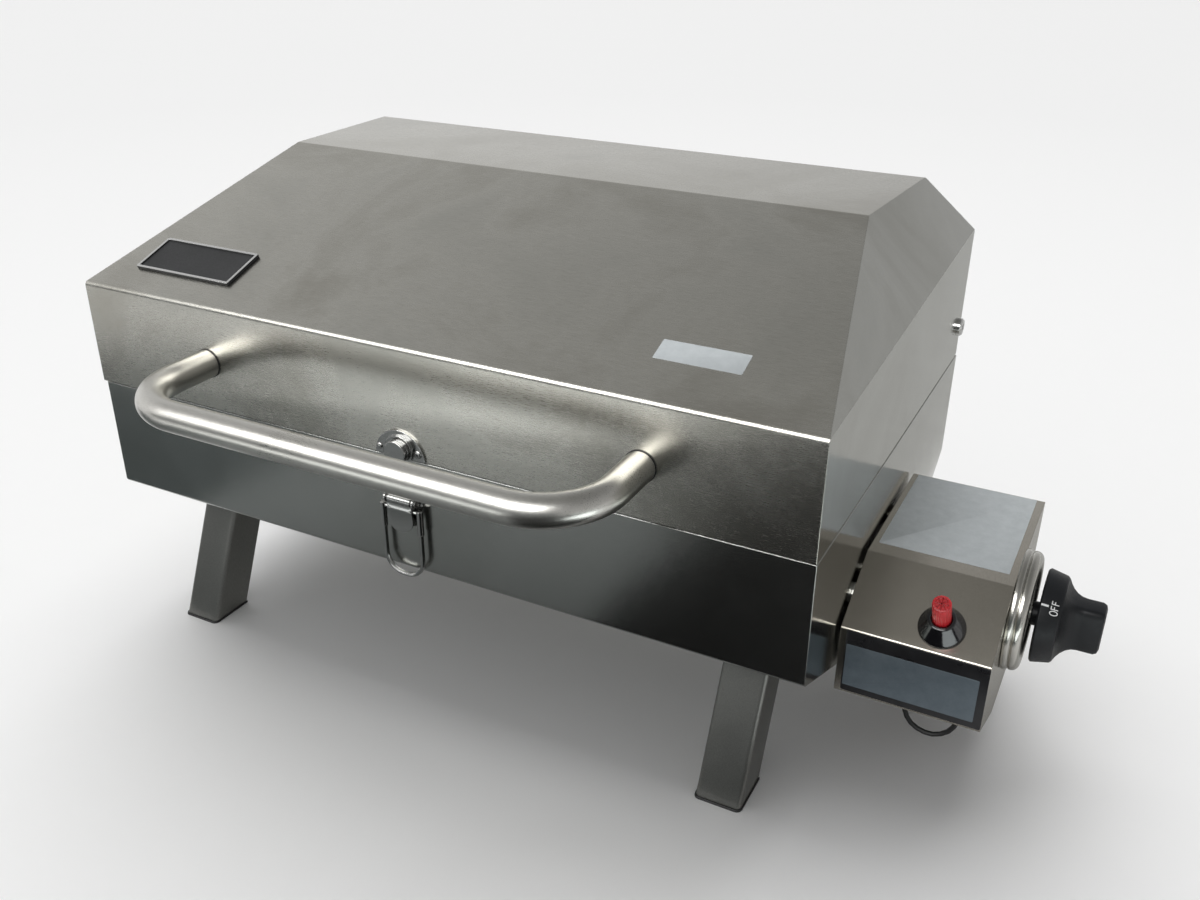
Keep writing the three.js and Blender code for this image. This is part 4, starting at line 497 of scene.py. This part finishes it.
def swept(name, path, radius, sides):
    """A round rod of `radius` millimetres along a list of points."""
    reach = radius * MM
    points = []
    side = (path[1] - path[0]).normalized().orthogonal().normalized()
    for i, point in enumerate(path):
        ahead = (path[min(i + 1, len(path) - 1)] - path[max(i - 1, 0)]).normalized()
        side = (side - ahead * side.dot(ahead)).normalized()
        other = ahead.cross(side)
        for k in range(sides):
            turn = 2 * math.pi * k / sides
            outwards = side * math.cos(turn) + other * math.sin(turn)
            points.append(point + outwards * reach)
    return mesh_of(name, points, walls(len(path), sides) + caps(len(path), sides))


def lathed(name, profile, origin, axis, sides=96, flutes=0, depth=0.0):
    """A solid of revolution: a profile of (radius, height) in millimetres round `axis` from `origin`.

    A profile that ends on its first point makes a ring. Flutes are shallow grooves along the sides.
    """
    axis = axis.normalized()
    side = axis.orthogonal().normalized()
    other = axis.cross(side)
    ring = profile[0] == profile[-1]
    levels = profile[:-1] if ring else profile
    points = []
    for radius, height in levels:
        for k in range(sides):
            turn = 2 * math.pi * k / sides
            groove = depth * (0.5 - 0.5 * math.cos(flutes * turn)) ** 3
            reach = max(radius - groove, 0.01)
            outwards = side * math.cos(turn) + other * math.sin(turn)
            points.append(origin + (axis * height + outwards * reach) * MM)
    faces = walls(len(levels), sides, ring)
    if not ring:
        faces += caps(len(levels), sides)
    return mesh_of(name, points, faces)


def rounded_outline(width, height, radius):
    corners = ((width - radius, radius, -90), (width - radius, height - radius, 0),
               (radius, height - radius, 90), (radius, radius, 180))
    steps = 6
    outline = []
    for x, y, start in corners:
        for k in range(steps + 1):
            turn = math.radians(start + 90 * k / steps)
            outline.append((x + radius * math.cos(turn), y + radius * math.sin(turn)))
    return outline


def card(name, origin, right, up, width, height, thick, radius):
    """A thin rounded plate with a soft upper edge, from its lower left corner, with sizes in millimetres."""
    out = right.cross(up).normalized()
    outline = rounded_outline(width, height, radius)
    count = len(outline)
    soft = min(thick * 0.4, 0.3)
    levels = ((0, 0), (thick - soft, 0), (thick, soft))
    points = []
    for level, shrink in levels:
        for x, y in outline:
            x += shrink * (1 if x < width / 2 else -1)
            y += shrink * (1 if y < height / 2 else -1)
            points.append(origin + (right * x + up * y + out * level) * MM)
    return mesh_of(name, points, caps(len(levels), count) + walls(len(levels), count))


def recess_shade_cross(name, centre, out, across, length, body):
    """Painted shade of a Phillips recess: a black cross laid on a screw head."""
    up = out.cross(across)
    for tag, first, second in (("a", across, up), ("b", up, -across)):
        corner = centre - (first * length / 2 + second * CROSS_HALF_WIDTH) * MM
        bar = card(name + "_" + tag, corner, first, second, length, 2 * CROSS_HALF_WIDTH, CROSS_THICK,
                   CROSS_CORNER)
        added(bar, "black_print_and_painted_shade", body)


# Lid
def on_lid_slope(x, along, out=0.0):
    """A point on the lid's front slope: `along` up the slope from its lower edge, `out` above the sheet."""
    return at(x, along * math.cos(LID_SLOPE) - out * math.sin(LID_SLOPE),
              LID_FRONT_TOP + along * math.sin(LID_SLOPE) + out * math.cos(LID_SLOPE))


def on_handle_bend(x, turn):
    """A point on a bend of the handle whose centre is at `x`, `turn` in radians."""
    return at(x + HANDLE_BEND * math.cos(turn), HANDLE_FRONT + HANDLE_BEND + HANDLE_BEND * math.sin(turn),
              HANDLE_HEIGHT)


def handle_path():
    """The middle of the handle's tube, from its left end round both bends to its right end."""
    straight = (0, -8, -16)
    left_bend = HANDLE_LEFT + HANDLE_BEND
    right_bend = HANDLE_RIGHT - HANDLE_BEND
    span = HANDLE_RIGHT - HANDLE_LEFT - 2 * HANDLE_BEND
    turns = [math.pi / 2 * k / HANDLE_BEND_STEPS for k in range(HANDLE_BEND_STEPS + 1)]
    path = [at(HANDLE_LEFT, y, HANDLE_HEIGHT) for y in straight]
    path += [on_handle_bend(left_bend, math.pi + turn) for turn in turns]
    path += [at(left_bend + span * k / 10, HANDLE_FRONT, HANDLE_HEIGHT) for k in range(1, 10)]
    path += [on_handle_bend(right_bend, turn - math.pi / 2) for turn in turns]
    path += [at(HANDLE_RIGHT, y, HANDLE_HEIGHT) for y in reversed(straight)]
    return path


def build_plate_border():
    """The bright frame round the blank name plate, as a closed ring of four edges."""
    wide = 1.6
    stand = 1.95
    width = PLATE_RIGHT - PLATE_LEFT
    height = PLATE_HIGH - PLATE_LOW
    outer = rounded_outline(width, height, 1.4)
    inner = rounded_outline(width - 2 * wide, height - 2 * wide, 0.5)
    rows = ((outer, 0, stand - 0.5), (outer, 0, stand), (inner, wide, stand), (inner, wide, stand - 0.6))
    points = []
    for outline, shift, out in rows:
        for x, y in outline:
            points.append(on_lid_slope(PLATE_LEFT + shift + x, PLATE_LOW + shift + y, out))
    border = mesh_of("name_plate_border", points, walls(len(rows), len(outer), closed=True))
    added(border, "polished_steel", "lid")


def build_fixings():
    """The catch's rivet and screw, the latch plate's screw, and painted shade for the recesses in the catch
    screw's and hinge screws' heads.
    """
    dome = [(1.9, 0), (1.8, 0.35), (1.4, 0.75), (0.8, 1.0), (0.1, 1.08)]
    head = [(2.3, 0), (2.25, 0.45), (1.9, 0.85), (1.2, 1.0), (0.1, 1.02)]
    rivet = lathed("catch_rivet", dome, at(CATCH_RIVET_X, FLANGE_FRONT, CATCH_Z), FORWARD, sides=40)
    added(rivet, "dark_chrome", "lid")
    screw = lathed("catch_screw", head, at(CATCH_SCREW_X, FLANGE_FRONT, CATCH_Z), FORWARD, sides=40)
    added(screw, "dark_chrome", "lid")
    recess_shade_cross("catch_screw_cross", at(CATCH_SCREW_X, -2.23, CATCH_Z), FORWARD, Vector((0.8, 0, 0.6)),
                2.2, "lid")
    centre = at(LATCH_SCREW_X, FLANGE_FRONT, LATCH_SCREW_Z)
    latch_screw = lathed("latch_screw", dome, centre, FORWARD, sides=40)
    added(latch_screw, "polished_steel", "base")
    for side, x, way in (("left", HINGE_LEFT, -1), ("right", HINGE_RIGHT, 1)):
        recess_shade_cross("hinge_cross_" + side, at(x + way * HINGE_HEAD, HINGE_Y, HINGE_Z), Vector((way, 0, 0)),
                    Vector((0, 0.7, 0.714)), 5, "lid")


def build_lid():
    smoothed("lid_shell", FOLD_ANGLE, "mirror_steel")
    smoothed("lid_catch")
    smoothed("name_plate")
    for side in ("left", "right"):
        smoothed("hinge_screw_" + side)
        smoothed("handle_screw_" + side)
    path = handle_path()
    handle = swept("lid_handle_look", path, HANDLE_RADIUS, sides=56)
    added(handle, "satin_steel", "lid", "lid_handle")
    corner = on_lid_slope(x=340.7, along=28.6, out=STICKER_LIFT)
    sticker = card("lid_sticker", corner, ALONG_X, UP_LID_SLOPE, width=44.3, height=14,
                   thick=STICKER_THICK, radius=STICKER_CORNER)
    added(sticker, "foil", "lid")
    # Painted shadow: a thin black ring round each end of the handle, where it meets the lid.
    joint_shadow_ring = [(7.9, 0.1), (8.3, 0.1), (8.3, 0.6), (7.9, 0.6), (7.9, 0.1)]
    for side, end in (("left", path[0]), ("right", path[-1])):
        added(lathed("handle_joint_shadow_" + side, joint_shadow_ring, end, FORWARD), "black_print_and_painted_shade", "lid")
    build_plate_border()
    build_fixings()


# Base, latch and legs
def build_base():
    smoothed("base_shell", FOLD_ANGLE, "mirror_steel")
    for place in LEG_PLACES:
        smoothed("leg_" + place)
        smoothed("foot_cap_" + place)
    for node in ("latch_base", "latch_lever", "latch_pin", "latch_bail", "burner", "electrode"):
        smoothed(node)


# Side box with its ring, igniter and knob
def build_box_labels():
    corner = at(x=439.5, y=101, z=BOX_TOP + STICKER_LIFT)
    sticker = card("box_sticker", corner, ALONG_X, ALONG_Y, width=65.8, height=86,
                   thick=STICKER_THICK, radius=STICKER_CORNER)
    added(sticker, "foil", "base")
    front = BOX_FRONT - STICKER_LIFT
    corner = at(x=439.7, y=front, z=-34.5)
    label = card("box_label", corner, ALONG_X, ALONG_Z, width=69.8, height=36.2,
                 thick=LABEL_THICK, radius=LABEL_CORNER)
    added(label, "black_print_and_painted_shade", "base")
    corner = at(x=440.4, y=front - PANEL_OUT, z=-31)
    panel = card("box_label_panel", corner, ALONG_X, ALONG_Z, width=65, height=24.6,
                 thick=PANEL_THICK, radius=STICKER_CORNER)
    added(panel, "label_grey", "base")


def build_ring():
    profile = [(30.9, 0), (31.5, 0.4), (31.7, 1.4), (31.6, 2.7), (31.1, 3.4), (30.5, 3.7), (30.9, 4.0),
               (31.2, 4.8), (31.1, 6.0), (30.6, 7.1), (29.6, 8.1), (28.4, 8.7), (27.2, 8.9), (26.2, 8.7),
               (25.7, 8.0), (25.5, 6.8), (8, 6.8), (8, 5.6), (28.4, 5.6), (29.3, 0), (30.9, 0)]
    ring = lathed("bezel_ring_look", profile, at(BOX_RIGHT, KNOB_Y, KNOB_Z), ALONG_X, sides=128)
    added(ring, "ring_steel", "base", "bezel_ring")


def build_igniter():
    """The bezel's cone and, in it, the fluted button with a raised star on its top."""
    foot = at(IGNITER_X, BOX_FRONT + IGNITER_UP_SLOPE * math.cos(BOX_SLOPE),
              BOX_FRONT_TOP + IGNITER_UP_SLOPE * math.sin(BOX_SLOPE))
    cone = [(6.3, 0.3), (11.1, 0.3), (11.45, 0.6), (11.35, 1.2), (10.9, 1.7), (6.9, 9.3), (6.5, 9.75),
            (6.1, 9.9), (5.2, 9.9), (4.9, 9.6), (4.9, 2.3), (6.3, 2.3), (6.3, 0.3)]
    bezel = lathed("igniter_bezel_look", cone, foot, OUT_OF_BOX_SLOPE)
    added(bezel, "gloss_plastic", "base", "igniter_bezel")
    stem = [(4.5, -3), (4.5, 10), (4.55, 10.5), (4.55, 24.6), (4.4, 25.1), (4.1, 25.3), (3.3, 25.3),
            (3.15, 24.9), (0.1, 24.9)]
    button = lathed("igniter_button_look", stem, foot, OUT_OF_BOX_SLOPE, sides=144, flutes=18, depth=0.22)
    added(button, "red_plastic", "igniter_push", "igniter_button")
    half_length = 3.1
    half_width = 0.35
    star_foot = 24.85
    for k in range(4):
        turn = math.pi / 4 * k
        along = ALONG_X * math.cos(turn) + UP_BOX_SLOPE * math.sin(turn)
        across = OUT_OF_BOX_SLOPE.cross(along)
        corner = foot + (OUT_OF_BOX_SLOPE * star_foot - along * half_length - across * half_width) * MM
        bar = card("igniter_star_%d" % k, corner, along, across, 2 * half_length, 2 * half_width,
                   thick=0.4, radius=0.3)
        added(bar, "red_plastic", "igniter_push")


def on_knob(turn, along, out=0.0):
    """A point on the knob's skirt: `turn` degrees from the top towards the front, `along` from its back."""
    radius = KNOB_SKIRT_RADIUS - KNOB_SKIRT_TAPER * max(along - KNOB_SKIRT_STRAIGHT, 0) + out
    angle = math.radians(turn)
    return at(KNOB_BACK + along, KNOB_Y - radius * math.sin(angle), KNOB_Z + radius * math.cos(angle))


def knob_stroke(name, route, wide):
    """A painted line on the skirt through points of (degrees, millimetres along the axis).

    It is a thin closed bar, so that it has a body of its own.
    """
    per_degree = PRINT_RADIUS * math.pi / 180
    points = []
    for i, point in enumerate(route):
        before = route[max(i - 1, 0)]
        after = route[min(i + 1, len(route) - 1)]
        way = Vector(((after[0] - before[0]) * per_degree, after[1] - before[1])).normalized()
        lean = Vector((-way.y, way.x)) * wide / 2
        for sign, out in ((-1, PRINT_PROUD), (1, PRINT_PROUD), (1, -PRINT_SUNK), (-1, -PRINT_SUNK)):
            points.append(on_knob(point[0] + sign * lean.x / per_degree, point[1] + sign * lean.y, out))
    faces = walls(len(route), 4) + caps(len(route), 4)
    added(mesh_of(name, points, faces), "white_print", "knob")


def build_knob_print():
    """The knob's hub, then the pointer and the word OFF, read from the front upwards."""
    profile = [(5.6, 0.4), (6.2, 0.1), (6.2, -3.2), (5.8, -3.6), (4.2, -3.6), (4.2, 0.4), (5.6, 0.4)]
    hub = lathed("knob_hub", profile, at(KNOB_BACK, KNOB_Y, KNOB_Z), ALONG_X, sides=48)
    added(hub, "black_plastic", "knob")
    foot = 9.0
    top = 5.4
    middle = (foot + top) / 2
    bar = middle - 0.1
    roof = top + 0.25
    pointer = [(46, 0.9), (46, 2.6), (46, 4.4)]
    letter_o = []
    for k in range(25):
        turn = k * math.pi / 12
        letter_o.append((53.1 + 2.6 * math.cos(turn), middle + (foot - top) / 2 * math.sin(turn)))
    strokes = [pointer, letter_o]
    for start in (48.6, 42.3):
        strokes.append([(start, foot), (start, bar), (start, top)])
        strokes.append([(start, roof), (start - 2, roof), (start - 4, roof)])
        strokes.append([(start, bar), (start - 1.7, bar), (start - 3.4, bar)])
    for k, route in enumerate(strokes):
        knob_stroke("knob_print_%d" % k, route, POINTER_WIDE if route is pointer else LETTER_WIDE)


def build_box():
    smoothed("control_box", FOLD_ANGLE)
    build_box_labels()
    for node in ("igniter_body", "gas_valve", "gas_inlet", "ignition_lead", "control_knob", "valve_spindle"):
        smoothed(node)
    build_ring()
    build_igniter()
    build_knob_print()


build_lid()
build_base()
build_box()


# Floor, light and what the metal mirrors, with cards that paint shade into its reflections
def build_floor():
    corners = [(-FLOOR_HALF, -FLOOR_HALF, 0), (FLOOR_HALF, -FLOOR_HALF, 0),
               (FLOOR_HALF, FLOOR_HALF, 0), (-FLOOR_HALF, FLOOR_HALF, 0)]
    mesh = mesh_of("floor", corners, [(0, 1, 2, 3)])
    # The far paper's level, then the lighter level of the painted pool of light round the grill.
    mesh.materials.append(floor_paper("floor_paper", 0.85, 0.92))
    placed("floor", mesh)


def build_world():
    """Surroundings that darken from the horizon up and from the left to the right."""
    world = bpy.data.worlds.new("surroundings")
    bpy.context.scene.world = world
    world.use_nodes = True
    nodes = NodeTree(world.node_tree)
    ways = nodes.add("ShaderNodeSeparateXYZ", Vector=nodes.add("ShaderNodeTexCoord").outputs["Generated"])
    upwards = nodes.ramp(ways.outputs["Z"], [(0.0, grey(0.9)), (0.44, grey(0.74)), (0.8, grey(0.44)),
                                             (1.0, (0.36, 0.36, 0.35))])
    rightwards = nodes.ramp(nodes.spread(ways.outputs["X"], 0.0, 1.0, start=-1.0),
                            [(0.14, grey(1.1)), (0.36, grey(0.86)), (0.52, grey(0.62)), (1.0, grey(0.6))])
    background = nodes.add("ShaderNodeBackground", Color=nodes.mixed(1.0, upwards, rightwards, "MULTIPLY"),
                           Strength=1.0)
    nodes.add("ShaderNodeOutputWorld", Surface=background.outputs["Background"])


def add_lamp(name, place, target, size, power):
    """A rectangular lamp at `place` that looks at `target`, seen in mirrors only."""
    data = bpy.data.lights.new(name, "AREA")
    data.shape = "RECTANGLE"
    data.size = size[0]
    data.size_y = size[1]
    data.energy = power
    lamp = placed(name, data)
    lamp.location = place
    lamp.rotation_euler = (Vector(target) - Vector(place)).to_track_quat("-Z", "Y").to_euler()
    lamp.visible_diffuse = False
    return lamp


def add_card(name, x_range, y_range, finish, top=CARD_HEIGHT):
    """A card that only mirrors see: a painted reflection of shaded floor and of the dark room. It stands up
    where its y range is empty.
    """
    x0, x1 = x_range
    y0, y1 = y_range
    corners = [(x0, y0, CARD_HEIGHT), (x1, y0, CARD_HEIGHT), (x1, y1, top), (x0, y1, top)]
    mesh = mesh_of(name, corners, [(0, 1, 2, 3)])
    mesh.materials.append(FINISHES[finish])
    piece = placed(name, mesh)
    piece.visible_camera = False
    piece.visible_diffuse = False
    piece.visible_shadow = False


def build_light():
    sun = bpy.data.lights.new("daylight", "SUN")
    sun.energy = DAYLIGHT_ENERGY
    sun.angle = DAYLIGHT_ANGLE
    daylight = placed("daylight", sun)
    daylight.rotation_euler = DAYLIGHT_WAY.to_track_quat("-Z", "Y").to_euler()
    daylight.visible_glossy = False
    add_lamp("strip", place=(-0.3, -1.25, 1.25), target=(-0.05, 0, 0.2), size=(1.9, 0.8), power=34)
    for name, x, y, size, power in (("table", -0.35, -0.72, (0.42, 0.42), 0.6),
                                    ("corner", 0.46, -0.25, (0.38, 0.2), 0.7)):
        low = add_lamp(name, (x, y, LOW_LAMP_HEIGHT), (x, y, 1), size, power)
        low.data.color = LOW_LAMP_COLOUR
        low.visible_camera = False


def build_cards():
    # Painted reflections of shade: the black cards darken what the right ends of the fronts mirror, the front
    # cards stand for the floor in the grill's shade, the room card for the dark room behind the camera, the
    # end card for the shaded floor behind the right end.
    add_card("right_card_near", (0.0, 1.4), (-0.42, -0.13), "card_black")
    add_card("right_card_far", (-0.13, 1.4), (-1.4, -0.42), "card_black")
    add_card("floor_shade_card_left", (-1.0, -0.32), (-0.475, -0.12), "card_dark")
    add_card("floor_shade_card_middle", (-0.32, 0.0), (-0.475, -0.12), "card_middle")
    add_card("room_card", (-2.6, 1.4), (-1.5, -1.5), "card_dark", top=0.62)
    add_card("end_card", (0.19, 1.6), (0.0, 1.5), "card_grey")


build_floor()
build_world()
build_light()
build_cards()
